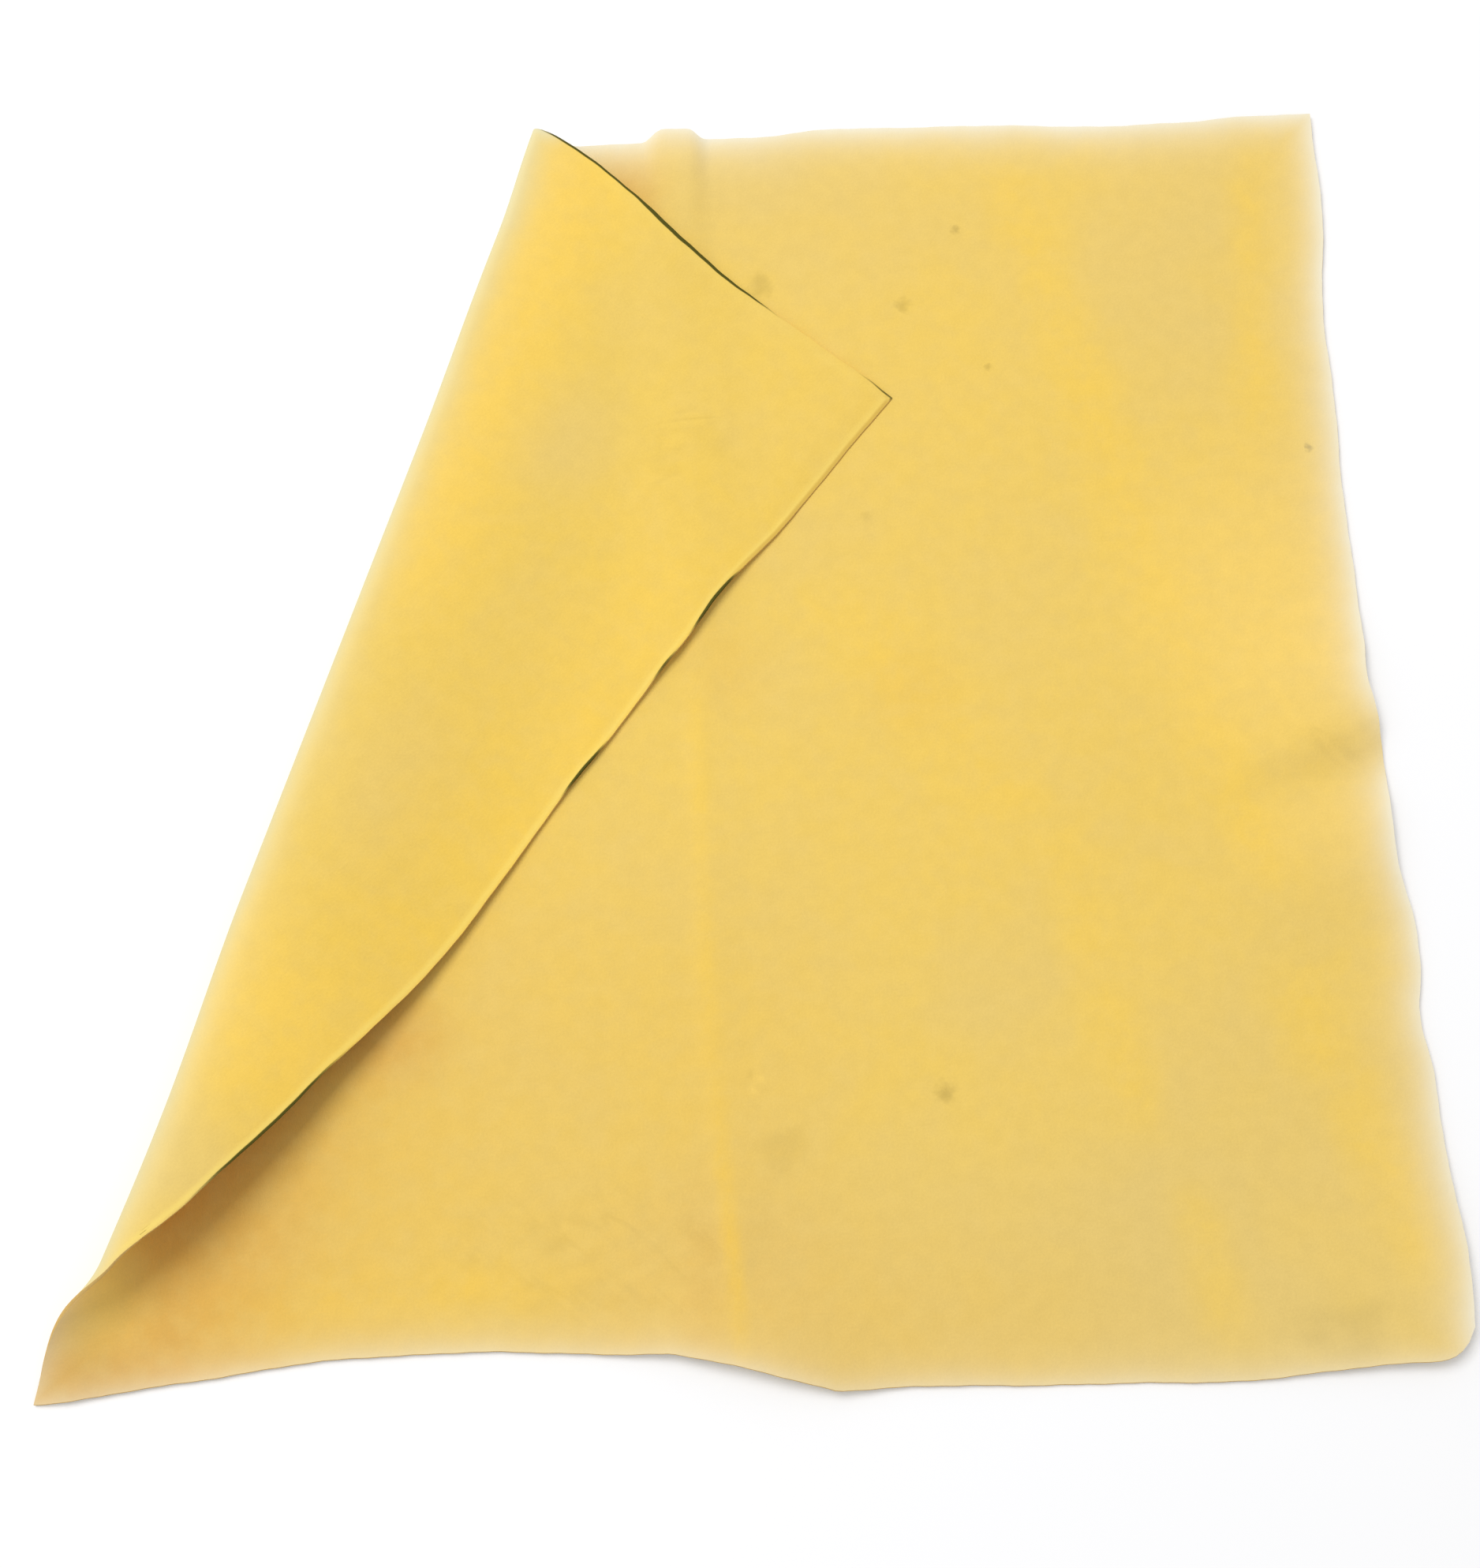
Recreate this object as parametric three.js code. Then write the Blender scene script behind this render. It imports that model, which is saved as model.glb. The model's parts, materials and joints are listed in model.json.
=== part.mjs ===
// A chamois leather lying on a table with its back-left corner turned over.
// Millimetres, +Z up, +X to the right and +Y to the back. The leather is described as a flat sheet first:
// u runs to the right from its front-left corner and v to the back. folded() then bends it into place.
import * as THREE from "three";

// Sheet
const SHEET_WIDTH = 405;
const SHEET_DEPTH = 399;
const LEATHER_THICKNESS = 1.0;

// Fold: a roll from the front-left corner to the back edge, loose at the front and tight at the back
const FOLD_FROM_LEFT = 148.6;
const FOLD_INNER_RADIUS_FRONT = 11.5;
const FOLD_INNER_RADIUS_BACK = 2.0;
const FOLD_GAP = 0.3;
const FLAP_CLEARANCE = 0.4;
const FLAP_SETTLE_LENGTH = 80;

// Mouth: the roll opens out flat towards the front-left corner, which stays on the table
const MOUTH_REACH = 44;
const TAIL_START = 34;
const TAIL_LENGTH = 30;
const TAIL_TIP = 8;
const TAIL_GAP = 0.5;

// Packing crease: a low ridge from the front edge to the back edge, which swings to the left on its way
const CREASE_FROM_LEFT = 200;
const CREASE_SWING = 7.5;
const CREASE_SWING_FROM_FRONT = 210;
const CREASE_SWING_FRONT_WIDTH = 210;
const CREASE_SWING_BACK_WIDTH = 330;
const CREASE_HALF_WIDTH = 11;
const CREASE_HEIGHT = 0.6;
const CREASE_FRONT_RISE = 0.9;
const CREASE_FRONT_REACH = 75;
const CREASE_BACK_RISE = 1.7;
const CREASE_BACK_REACH = 65;
const CREASE_BRIDGE_WIDTH = 14;
const CREASE_BRIDGE_RISE = 0.8;

// Second packing crease: a groove at the right edge between two low swellings
const GROOVE_FROM_FRONT = 176;
const GROOVE_SLANT = 0.27;
const SWELLING_HEIGHT = 2.8;
const SWELLING_HALF_WIDTH = 28;
const SWELLING_REACH = 64;

// Lifted edges
const CORNER_LIFT = 3;
const CORNER_REACH = 70;
const FRONT_LIFT = 3.6;
const FRONT_LIFT_FROM_LEFT = 202;
const FRONT_LIFT_HALF_WIDTH = 50;
const FRONT_LIFT_REACH = 38;

// Hand-cut outline: how far each edge wanders from the straight sheet
const FRONT_CORNER_INSET = 4;
const FRONT_HOLLOW = 9.8;
const FRONT_HOLLOW_LENGTH = 95;
const FRONT_RETURN = 15.1;
const FRONT_RETURN_FROM_LEFT = 162;
const FRONT_RETURN_LENGTH = 65;
const FRONT_TURN = 4.1;
const FRONT_TURN_LENGTH = 67;
const RIGHT_WAIST = 4.2;
const RIGHT_WAIST_START = 160;
const RIGHT_WAIST_END = 366;
const RIGHT_WAIST_TURN = 44;
const RIGHT_FLARE = 2.5;
const RIGHT_FLARE_LENGTH = 55;
const LEFT_BULGE = 6;
const LEFT_BULGE_FROM_FRONT = 172;
const LEFT_BULGE_HALF_WIDTH = 95;
const LEFT_NOTCH = 7;
const LEFT_NOTCH_FROM_FRONT = 34;
const LEFT_NOTCH_HALF_WIDTH = 44;
const BACK_BULGE = 5;
const BACK_BULGE_FROM_LEFT = 130;
const BACK_BULGE_LEFT_WIDTH = 75;
const BACK_BULGE_RIGHT_WIDTH = 36;
const BACK_TAB = 2.4;

// Mesh
const ROWS = 26;
const ROW_CROWDING = 1.25;
const BEND_COLUMNS = 5;
const SPAN_COLUMNS = 3;
const CREASE_COLUMNS = 4;
const EDGE_COLUMNS = 4;
const FLAP_COLUMNS = 10;
const FLAP_BEND_SHARE = 0.4;
const NORMAL_STEP = 0.05;
const FLATTEST_CURVE = 1e-6;

const FOLD_LENGTH = Math.hypot(FOLD_FROM_LEFT, SHEET_DEPTH);
const FOLD_RIGHTWARD = FOLD_FROM_LEFT / FOLD_LENGTH;
const FOLD_BACKWARD = SHEET_DEPTH / FOLD_LENGTH;
const HALF_THICKNESS = LEATHER_THICKNESS / 2;

const mix = (a, b, share) => a + (b - a) * share;
const smooth = (x) => THREE.MathUtils.smoothstep(x, 0, 1);

// A rounded hump of height 1 at the centre that fades to exactly 0 at each side's width.
function hump(x, centre, leftWidth, rightWidth = leftWidth) {
  const share = (x - centre) / (x < centre ? leftWidth : rightWidth);
  return Math.abs(share) < 1 ? Math.cos((share * Math.PI) / 2) ** 2 : 0;
}

// Where the packing crease lies, at a distance v from the front.
function creaseLine(v) {
  const swing = hump(v, CREASE_SWING_FROM_FRONT, CREASE_SWING_FRONT_WIDTH, CREASE_SWING_BACK_WIDTH);
  return CREASE_FROM_LEFT - CREASE_SWING * swing;
}

function frontEdge(u) {
  const hollow = FRONT_HOLLOW * smooth(u / FRONT_HOLLOW_LENGTH);
  const forward = FRONT_RETURN * smooth((u - FRONT_RETURN_FROM_LEFT) / FRONT_RETURN_LENGTH);
  const turn = FRONT_TURN * smooth((u - SHEET_WIDTH + FRONT_TURN_LENGTH) / FRONT_TURN_LENGTH);
  return FRONT_CORNER_INSET + hollow - forward + turn;
}

function backEdge(u) {
  const bulge = hump(u, BACK_BULGE_FROM_LEFT, BACK_BULGE_LEFT_WIDTH, BACK_BULGE_RIGHT_WIDTH);
  const tab = hump(u, creaseLine(SHEET_DEPTH), CREASE_HALF_WIDTH);
  return SHEET_DEPTH + BACK_BULGE * bulge + BACK_TAB * tab;
}

function leftEdge(v) {
  const bulge = LEFT_BULGE * hump(v, LEFT_BULGE_FROM_FRONT, LEFT_BULGE_HALF_WIDTH);
  return LEFT_NOTCH * hump(v, LEFT_NOTCH_FROM_FRONT, LEFT_NOTCH_HALF_WIDTH) - bulge;
}

function rightEdge(v) {
  const inward = smooth((v - RIGHT_WAIST_START) / RIGHT_WAIST_TURN);
  const waist = RIGHT_WAIST * inward * smooth((RIGHT_WAIST_END - v) / RIGHT_WAIST_TURN);
  return SHEET_WIDTH - waist + RIGHT_FLARE * (1 - smooth(v / RIGHT_FLARE_LENGTH));
}

// Where the crest of the fold lies on the flat sheet, at a distance v from the front.
const foldCrest = (v) => (v * FOLD_RIGHTWARD) / FOLD_BACKWARD;

// Where the flap parts from the main panel: along the crest, and out to the left edge at the mouth.
const parting = (v) => mix(leftEdge(v), foldCrest(v), smooth((v - TAIL_START) / TAIL_LENGTH));

// Half of the gap at the parting, which is wider where the parting runs aslant to the left edge.
function halfGap(v) {
  const slant = hump(v, TAIL_START + TAIL_LENGTH / 2, TAIL_LENGTH);
  return (FOLD_GAP + TAIL_GAP * slant) / 2 / FOLD_BACKWARD;
}

// The roll's radius at mid-thickness, at a distance along the fold from the front-left corner.
function foldRadius(along) {
  const inner = mix(FOLD_INNER_RADIUS_FRONT, FOLD_INNER_RADIUS_BACK, along / FOLD_LENGTH);
  return inner + HALF_THICKNESS;
}

function creaseHeight(v) {
  const front = CREASE_FRONT_RISE * (1 - smooth(v / CREASE_FRONT_REACH));
  const back = CREASE_BACK_RISE * smooth((v - SHEET_DEPTH + CREASE_BACK_REACH) / CREASE_BACK_REACH);
  return CREASE_HEIGHT + front + back;
}

// How far the lying sheet is raised from the table.
function lift(u, v) {
  const crease = creaseHeight(v) * hump(u, creaseLine(v), CREASE_HALF_WIDTH);
  const edge = rightEdge(v);
  const fromGroove = v + GROOVE_SLANT * (edge - u) - GROOVE_FROM_FRONT;
  const nearSwelling = hump(fromGroove, -SWELLING_HALF_WIDTH, SWELLING_HALF_WIDTH);
  const farSwelling = hump(fromGroove, SWELLING_HALF_WIDTH, SWELLING_HALF_WIDTH);
  const swelling = SWELLING_HEIGHT * (nearSwelling + farSwelling) * hump(u, edge, SWELLING_REACH);
  const corner = CORNER_LIFT * hump(Math.hypot(u - edge, v - frontEdge(edge)), 0, CORNER_REACH);
  const along = hump(u, FRONT_LIFT_FROM_LEFT, FRONT_LIFT_HALF_WIDTH);
  const front = FRONT_LIFT * along * hump(v, frontEdge(u), FRONT_LIFT_REACH);
  return Math.max(crease, front) + swelling + corner;
}

// How far the flap is raised where it lies across the packing crease.
function bridge(x, y) {
  const width = CREASE_HALF_WIDTH + CREASE_BRIDGE_WIDTH;
  return (creaseHeight(y) + CREASE_BRIDGE_RISE) * hump(x, creaseLine(y), width);
}

// The folded place of a point of the flat sheet, at mid-thickness.
function folded(u, v) {
  const along = u * FOLD_RIGHTWARD + v * FOLD_BACKWARD;
  const across = v * FOLD_RIGHTWARD - u * FOLD_BACKWARD;
  const radius = foldRadius(along);
  const bend = (radius * Math.PI) / 2;
  if (across <= -bend) return new THREE.Vector3(u, v, HALF_THICKNESS + lift(u, v));
  const opening = smooth(Math.hypot(u, v - FRONT_CORNER_INSET) / MOUTH_REACH);
  const curve = Math.max(opening / radius, FLATTEST_CURVE);
  const turn = Math.min((across + bend) * curve, Math.PI);
  const beyond = Math.max(across + bend - Math.PI / curve, 0);
  const out = Math.sin(turn) / curve - bend - beyond;
  const x = along * FOLD_RIGHTWARD - out * FOLD_BACKWARD;
  const y = along * FOLD_BACKWARD + out * FOLD_RIGHTWARD;
  const roll = (1 - Math.cos(turn)) / curve;
  const lying = LEATHER_THICKNESS + FLAP_CLEARANCE;
  const settled = mix(roll, lying, smooth(beyond / FLAP_SETTLE_LENGTH));
  const raised = beyond > 0 ? bridge(x, y) : 0;
  return new THREE.Vector3(x, y, HALF_THICKNESS + settled + raised);
}

// The direction square to the leather at a point of the flat sheet, on the side inside the fold.
function facing(u, v) {
  const rightward = folded(u + NORMAL_STEP, v).sub(folded(u - NORMAL_STEP, v));
  const backward = folded(u, v + NORMAL_STEP).sub(folded(u, v - NORMAL_STEP));
  return rightward.cross(backward).normalize();
}

// Evenly spaced values from start to end, with the start left out.
const spread = (start, end, count) =>
  Array.from({ length: count }, (_, i) => mix(start, end, (i + 1) / count));

// The values of u across the lying sheet at a distance v from the front, from the fold to the right edge.
function panelColumns(v) {
  const start = parting(v) + halfGap(v);
  const bendEnd = foldCrest(v) + (foldRadius(v / FOLD_BACKWARD) * Math.PI) / 2 / FOLD_BACKWARD;
  const creaseStart = creaseLine(v) - CREASE_HALF_WIDTH;
  const creaseEnd = creaseLine(v) + CREASE_HALF_WIDTH;
  const edge = rightEdge(v);
  return [
    start,
    ...spread(start, bendEnd, BEND_COLUMNS),
    ...spread(bendEnd, creaseStart, SPAN_COLUMNS),
    ...spread(creaseStart, creaseEnd, CREASE_COLUMNS),
    ...spread(creaseEnd, edge - SWELLING_REACH, SPAN_COLUMNS),
    ...spread(edge - SWELLING_REACH, edge, EDGE_COLUMNS),
  ];
}

// The values of u across the flap at a distance v from the front, from its left edge to the fold.
function flapColumns(v) {
  const end = parting(v) - halfGap(v);
  const edge = leftEdge(v);
  const bend = (foldRadius(v / FOLD_BACKWARD) * Math.PI) / 2 / FOLD_BACKWARD;
  const bendEnd = end - Math.min(bend, (end - edge) * FLAP_BEND_SHARE);
  return [edge, ...spread(edge, bendEnd, FLAP_COLUMNS), ...spread(bendEnd, end, BEND_COLUMNS)];
}

// How far back a row of the mesh lies on the left edge, from its share of the way.
const rowPlace = (share) => mix(FRONT_CORNER_INSET, SHEET_DEPTH, share);

// A closed leather panel whose rows cross the flat sheet at the given shares of the way from front to back.
function leatherPanel(name, columnsAt, shares, colour) {
  const inside = [];
  const outside = [];
  for (const share of shares) {
    columnsAt(rowPlace(share)).forEach((guess, column) => {
      const v = mix(frontEdge(guess), backEdge(guess), share);
      const u = columnsAt(v)[column];
      const middle = folded(u, v);
      const offset = facing(u, v).multiplyScalar(HALF_THICKNESS);
      inside.push(middle.clone().add(offset));
      outside.push(middle.clone().sub(offset));
    });
  }
  const rows = shares.length - 1;
  const columns = inside.length / shares.length;
  const faces = [];
  const quad = (a, b, c, d) => faces.push(a, b, c, a, c, d);
  const at = (row, column) => row * columns + column;
  const under = (index) => index + inside.length;
  for (let row = 0; row < rows; row += 1) {
    for (let column = 0; column < columns - 1; column += 1) {
      const corners = [at(row, column), at(row, column + 1), at(row + 1, column + 1), at(row + 1, column)];
      quad(...corners);
      quad(...corners.map(under).reverse());
    }
  }
  const border = [];
  for (let column = 0; column < columns - 1; column += 1) border.push(at(0, column));
  for (let row = 0; row < rows; row += 1) border.push(at(row, columns - 1));
  for (let column = columns - 1; column > 0; column -= 1) border.push(at(rows, column));
  for (let row = rows; row > 0; row -= 1) border.push(at(row, 0));
  border.forEach((here, i) => {
    const next = border[(i + 1) % border.length];
    quad(next, here, under(here), under(next));
  });
  const geometry = new THREE.BufferGeometry().setFromPoints([...inside, ...outside]).setIndex(faces);
  geometry.computeVertexNormals();
  const leather = new THREE.MeshStandardMaterial({ color: colour, roughness: 0.95, metalness: 0 });
  const mesh = new THREE.Mesh(geometry, leather);
  mesh.name = name;
  return mesh;
}

const rowShares = Array.from({ length: ROWS + 1 }, (_, row) => (row / ROWS) ** ROW_CROWDING);
const flapShares = rowShares.filter((share) => rowPlace(share) > TAIL_START + TAIL_TIP);
const chamois = new THREE.Group();
chamois.name = "chamois_leather";
chamois.add(leatherPanel("main_panel", panelColumns, rowShares, 0xe8c470));
chamois.add(leatherPanel("turned_flap", flapColumns, flapShares, 0xf0cb62));

// The origin is under the middle of the folded leather, on the table.
const box = new THREE.Box3().setFromObject(chamois);
const centre = box.getCenter(new THREE.Vector3());
for (const panel of chamois.children) panel.geometry.translate(-centre.x, -centre.y, -box.min.z);

export default chamois;
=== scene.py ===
"""A chamois leather on a pale table, with its back-left corner turned over along a rolled fold.

Sizes in the classes are millimetres. The leather is described as a flat sheet first: u runs to the right from
its front-left corner and v to the back. FoldedSheet.place() then bends that sheet, and the meshes are written
in metres.
"""

import json
import logging
import math
from dataclasses import dataclass, field
from enum import Enum
from typing import Any, Callable

import bpy
import numpy as np
from mathutils import Matrix, Vector

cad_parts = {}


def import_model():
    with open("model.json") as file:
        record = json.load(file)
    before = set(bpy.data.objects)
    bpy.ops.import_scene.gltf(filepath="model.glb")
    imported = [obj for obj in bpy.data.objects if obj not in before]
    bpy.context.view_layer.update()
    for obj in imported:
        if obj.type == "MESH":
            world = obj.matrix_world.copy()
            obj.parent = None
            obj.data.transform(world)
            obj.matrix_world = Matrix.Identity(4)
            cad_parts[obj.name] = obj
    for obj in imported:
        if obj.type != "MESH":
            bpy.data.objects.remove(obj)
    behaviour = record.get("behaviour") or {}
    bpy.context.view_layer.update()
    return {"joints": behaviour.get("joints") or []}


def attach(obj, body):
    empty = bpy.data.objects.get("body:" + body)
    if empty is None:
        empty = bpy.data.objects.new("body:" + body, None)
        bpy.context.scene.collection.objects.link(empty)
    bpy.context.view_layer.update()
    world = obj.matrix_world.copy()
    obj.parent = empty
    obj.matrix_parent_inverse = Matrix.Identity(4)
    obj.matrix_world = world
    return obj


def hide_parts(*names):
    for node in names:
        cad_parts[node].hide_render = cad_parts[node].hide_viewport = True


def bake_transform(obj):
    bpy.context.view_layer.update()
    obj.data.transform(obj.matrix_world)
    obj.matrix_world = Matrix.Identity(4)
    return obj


log = logging.getLogger("chamois")

Array = np.ndarray
Colour = tuple[int, int, int]
Span = tuple[float, float]
Socket = bpy.types.NodeSocket
Object = bpy.types.Object
Material = bpy.types.Material

MM = 0.001
TINY = 1e-9
WHITE = (1.0, 1.0, 1.0, 1.0)


class Face(Enum):
    """The two faces of the skin: the one inside the fold and the one outside it."""

    INSIDE = 0
    OUTSIDE = 1


class Slot(Enum):
    """The material slots of a leather mesh."""

    NAP = 0
    FLESH = 1
    CUT = 2


def smooth(x: Array) -> Array:
    """Smoothstep: 3x² - 2x³, with x held between 0 and 1."""
    held = np.clip(x, 0.0, 1.0)
    return held * held * (3.0 - 2.0 * held)


def mix(a: Array | float, b: Array | float, share: Array | float) -> Array | float:
    """The value that lies the given share of the way from a to b."""
    return a + (b - a) * share


def hump(x: Array, centre: Array | float, left: float, right: float | None = None) -> Array:
    """A raised cosine: 1 at the centre, fading to exactly 0 at each side's width.

    Args:
        x: where to read the hump.
        centre: the middle of the hump.
        left: its width below the centre.
        right: its width above the centre, the same as left if it isn't given.

    Returns:
        cos²(90° · share), where share is the distance from the centre over the width on that side.
    """
    share = (x - centre) / np.where(x < centre, left, left if right is None else right)
    return np.cos(np.clip(share, -1.0, 1.0) * math.pi / 2.0) ** 2


def linear(colour: Colour) -> tuple[float, float, float, float]:
    """Turns a display colour into the linear colour that Blender's sockets take.

    Args:
        colour: red, green and blue, from 0 to 255.

    Returns:
        Linear red, green and blue by the standard display curve, and a full alpha.
    """
    shown = np.array(colour, float) / 255.0
    made = np.where(shown <= 0.04045, shown / 12.92, ((shown + 0.055) / 1.055) ** 2.4)
    return (*(float(c) for c in made), 1.0)


@dataclass(frozen=True)
class Ripple:
    """A plane wave on the flat sheet.

    Attributes:
        length: from one crest to the next.
        heading: the direction that it runs in, in degrees from the u axis.
        phase: its start, in turns.
        height: from its trough to its crest.
    """

    length: float
    heading: float
    phase: float
    height: float

    def at(self, u: Array, v: Array) -> Array:
        """Reads the wave.

        Args:
            u: places on the flat sheet, to the right.
            v: places on the flat sheet, to the back.

        Returns:
            height · (1 + sin(2π · (distance along the heading / length + phase))) / 2.
        """
        turned = math.radians(self.heading)
        along = u * math.cos(turned) + v * math.sin(turned)
        return self.height * (1.0 + np.sin(2.0 * math.pi * (along / self.length + self.phase))) / 2.0


@dataclass(frozen=True)
class Patch:
    """A soft patch on a face: its middle on the flat sheet, its reach in u and v, and its strength."""

    u: float
    v: float
    reach: Span
    strength: float

    def at(self, u: Array, v: Array) -> Array:
        """strength · raised cosine of the distance from the middle, over the reach."""
        distance = np.hypot((u - self.u) / self.reach[0], (v - self.v) / self.reach[1])
        return self.strength * hump(distance, 0.0, 1.0)


def patched(patches: tuple[Patch, ...], u: Array, v: Array) -> Array:
    """The sum of the patches."""
    return sum(patch.at(u, v) for patch in patches)


@dataclass(frozen=True)
class Step:
    """A smooth step along a line: how much it adds, where it starts and how long it takes."""

    by: float
    start: float
    length: float

    def at(self, along: Array) -> Array:
        """by · smoothstep of the way through the step."""
        return self.by * smooth((along - self.start) / self.length)


@dataclass(frozen=True)
class Bump:
    """A rounded bump along a line: how much it adds, its middle and its width on each side."""

    by: float
    centre: float
    left: float
    right: float

    def at(self, along: Array) -> Array:
        """by · raised cosine."""
        return self.by * hump(along, self.centre, self.left, self.right)


@dataclass(frozen=True)
class Slant:
    """A slant in an edge, slow at first, that ends at a corner: how far it goes, its start and its length."""

    by: float
    start: float
    length: float
    power: float = 1.25

    def at(self, along: Array) -> Array:
        """by · (the way through the slant) raised to the power."""
        return self.by * np.clip((along - self.start) / self.length, 0.0, 1.0) ** self.power


@dataclass(frozen=True)
class RoundedEnd:
    """A rounded corner at the end of an edge: its radius and where it starts."""

    radius: float
    start: float
    most: float = 0.97

    def at(self, along: Array) -> Array:
        """radius · (1 - √(1 - t²)), where t is the way through the corner, held just short of its end."""
        share = np.clip((along - self.start) / self.radius, 0.0, self.most)
        return self.radius * (1.0 - np.sqrt(1.0 - share * share))


@dataclass(frozen=True)
class Fringe:
    """A bleached band along an edge: how strong it is there, and over what distance it fades."""

    strength: float
    reach: float

    def at(self, distance: Array) -> Array:
        """strength · e to the power of -distance / reach."""
        return self.strength * np.exp(-distance / self.reach)


@dataclass(frozen=True)
class Stray:
    """A sine that leads a wrinkle's line astray: how far, over what length, and where it starts."""

    by: float
    length: float
    start: float = 0.0

    def at(self, place: Array) -> Array:
        """by · sin(place / length + start)."""
        return self.by * np.sin(place / self.length + self.start)


def snipped(*heights: float) -> tuple[Ripple, ...]:
    """The unevenness of a knife: three waves along the edge, of these heights, the longest wave first."""
    waves = zip((61.0, 23.0, 8.3), (0.10, 0.55, 0.30), heights)
    return tuple(Ripple(length, 0.0, phase, height) for length, phase, height in waves)


@dataclass(frozen=True)
class Edge:
    """A hand-cut edge: a straight line moved by its forms, with the knife's unevenness added.

    Attributes:
        base: the straight line.
        forms: the steps, bumps, slants and rounded ends that move it.
        shift: where along the knife's unevenness this edge starts.
        snips: the waves of that unevenness.
    """

    base: float
    forms: tuple[Step | Bump | Slant | RoundedEnd, ...]
    shift: float
    snips: tuple[Ripple, ...] = snipped(0.40, 0.18, 0.10)

    def at(self, along: Array) -> Array:
        """Reads the edge.

        Args:
            along: places along it.

        Returns:
            base + the sum of the forms + the sum of the snips, about a mean of 0.
        """
        place = along + self.shift
        uneven = sum(snip.at(place, np.zeros_like(place)) - snip.height / 2.0 for snip in self.snips)
        return self.base + sum(form.at(along) for form in self.forms) + uneven


@dataclass(frozen=True)
class Cut:
    """The outline of the flat sheet.

    Attributes:
        depth: the fold's end, from the front-left corner to the back edge.
        front: hollow at the left, drawn forward past the packing crease, and rounded at the right.
        back: a bulge on the turned corner, and a tab at the packing crease.
        left: the flap's free edge: a notch by the corner, then a long bulge.
        right: flared at the front, and drawn in behind the groove.
    """

    depth: float = 399.0
    front: Edge = Edge(base=4.4, shift=0.0, forms=(
        Step(by=9.2, start=2.0, length=98.0),
        Bump(by=1.2, centre=32.0, left=26.0, right=34.0),
        Step(by=-3.4, start=112.0, length=88.0),
        Slant(by=-11.4, start=180.0, length=47.0),
        Step(by=-2.4, start=240.0, length=110.0),
        Step(by=3.4, start=330.0, length=76.0),
        RoundedEnd(radius=11.5, start=396.6),
    ))
    back: Edge = Edge(base=399.4, shift=190.0, forms=(
        Bump(by=5.8, centre=136.0, left=78.0, right=30.0),
        Step(by=-1.6, start=152.0, length=12.0),
        Step(by=3.4, start=184.5, length=7.0),
        Step(by=-2.6, start=199.5, length=5.0),
        Step(by=2.2, start=220.0, length=30.0),
        Step(by=-2.0, start=275.0, length=70.0),
        Step(by=1.6, start=366.0, length=22.0),
    ))
    left: Edge = Edge(base=0.0, shift=420.0, snips=snipped(0.30, 0.10, 0.05), forms=(
        Bump(by=7.0, centre=34.0, left=44.0, right=44.0),
        Bump(by=1.7, centre=60.0, left=32.0, right=32.0),
        Bump(by=-6.0, centre=172.0, left=95.0, right=95.0),
        Bump(by=-0.9, centre=104.0, left=20.0, right=26.0),
        Bump(by=-1.5, centre=257.0, left=30.0, right=30.0),
        Bump(by=1.3, centre=316.0, left=26.0, right=26.0),
    ))
    right: Edge = Edge(base=409.2, shift=77.0, forms=(
        Bump(by=-1.5, centre=4.0, left=20.0, right=18.0),
        Step(by=-2.2, start=28.0, length=30.0),
        Bump(by=-2.1, centre=98.0, left=18.0, right=15.0),
        Step(by=-3.2, start=124.0, length=24.0),
        Bump(by=-1.3, centre=197.0, left=20.0, right=17.0),
        Step(by=-1.5, start=192.0, length=16.0),
        Step(by=0.8, start=262.0, length=34.0),
        Step(by=4.3, start=318.0, length=56.0),
    ))


@dataclass(frozen=True)
class Fold:
    """The roll from the front-left corner to the back edge, loose at the front and tight at the back.

    Attributes:
        from_left: where the fold meets the back edge.
        inner_radius_front: the roll's inner radius at the front, with inner_radius_back, that at the back.
        flap_clearance: how far the settled flap lies above the sheet below it.
        settle_length: how far past the roll the flap has settled.
        mouth_reach: how far from the front-left corner the roll is still opening.
        flattest_curve: the least curve of the open corner, in radians for each millimetre.
        wander: how the crest strays to the right of a straight fold, and wander_reach, how far that is felt.
    """

    from_left: float = 148.6
    inner_radius_front: float = 11.5
    inner_radius_back: float = 2.0
    flap_clearance: float = 0.2
    settle_length: float = 71.0
    mouth_reach: float = 44.0
    flattest_curve: float = 1e-6
    wander: tuple[Step | Bump, ...] = (
        Bump(by=1.6, centre=90.0, left=72.0, right=70.0),
        Step(by=-1.0, start=310.0, length=70.0),
        Step(by=-1.6, start=390.0, length=40.0),
    )
    wander_reach: float = 42.0

    def directions(self, cut: Cut) -> tuple[float, float, float]:
        """The fold's length on the flat sheet, and how far it runs rightward and backward per unit of it."""
        length = math.hypot(self.from_left, cut.depth)
        return length, self.from_left / length, cut.depth / length

    def aside(self, along: Array, across: Array, bend: Array) -> Array:
        """How far right of a straight fold the crest lies: most on the crest, nothing at the roll's foot."""
        weight = np.where(across < 0.0, smooth(1.0 + across / bend), hump(across, 0.0, self.wander_reach))
        return weight * sum(form.at(along) for form in self.wander)

    def radius(self, along: Array, length: float, half_thickness: float) -> Array:
        """The roll's radius at mid-thickness: it narrows evenly along the fold."""
        return mix(self.inner_radius_front, self.inner_radius_back, along / length) + half_thickness


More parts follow.
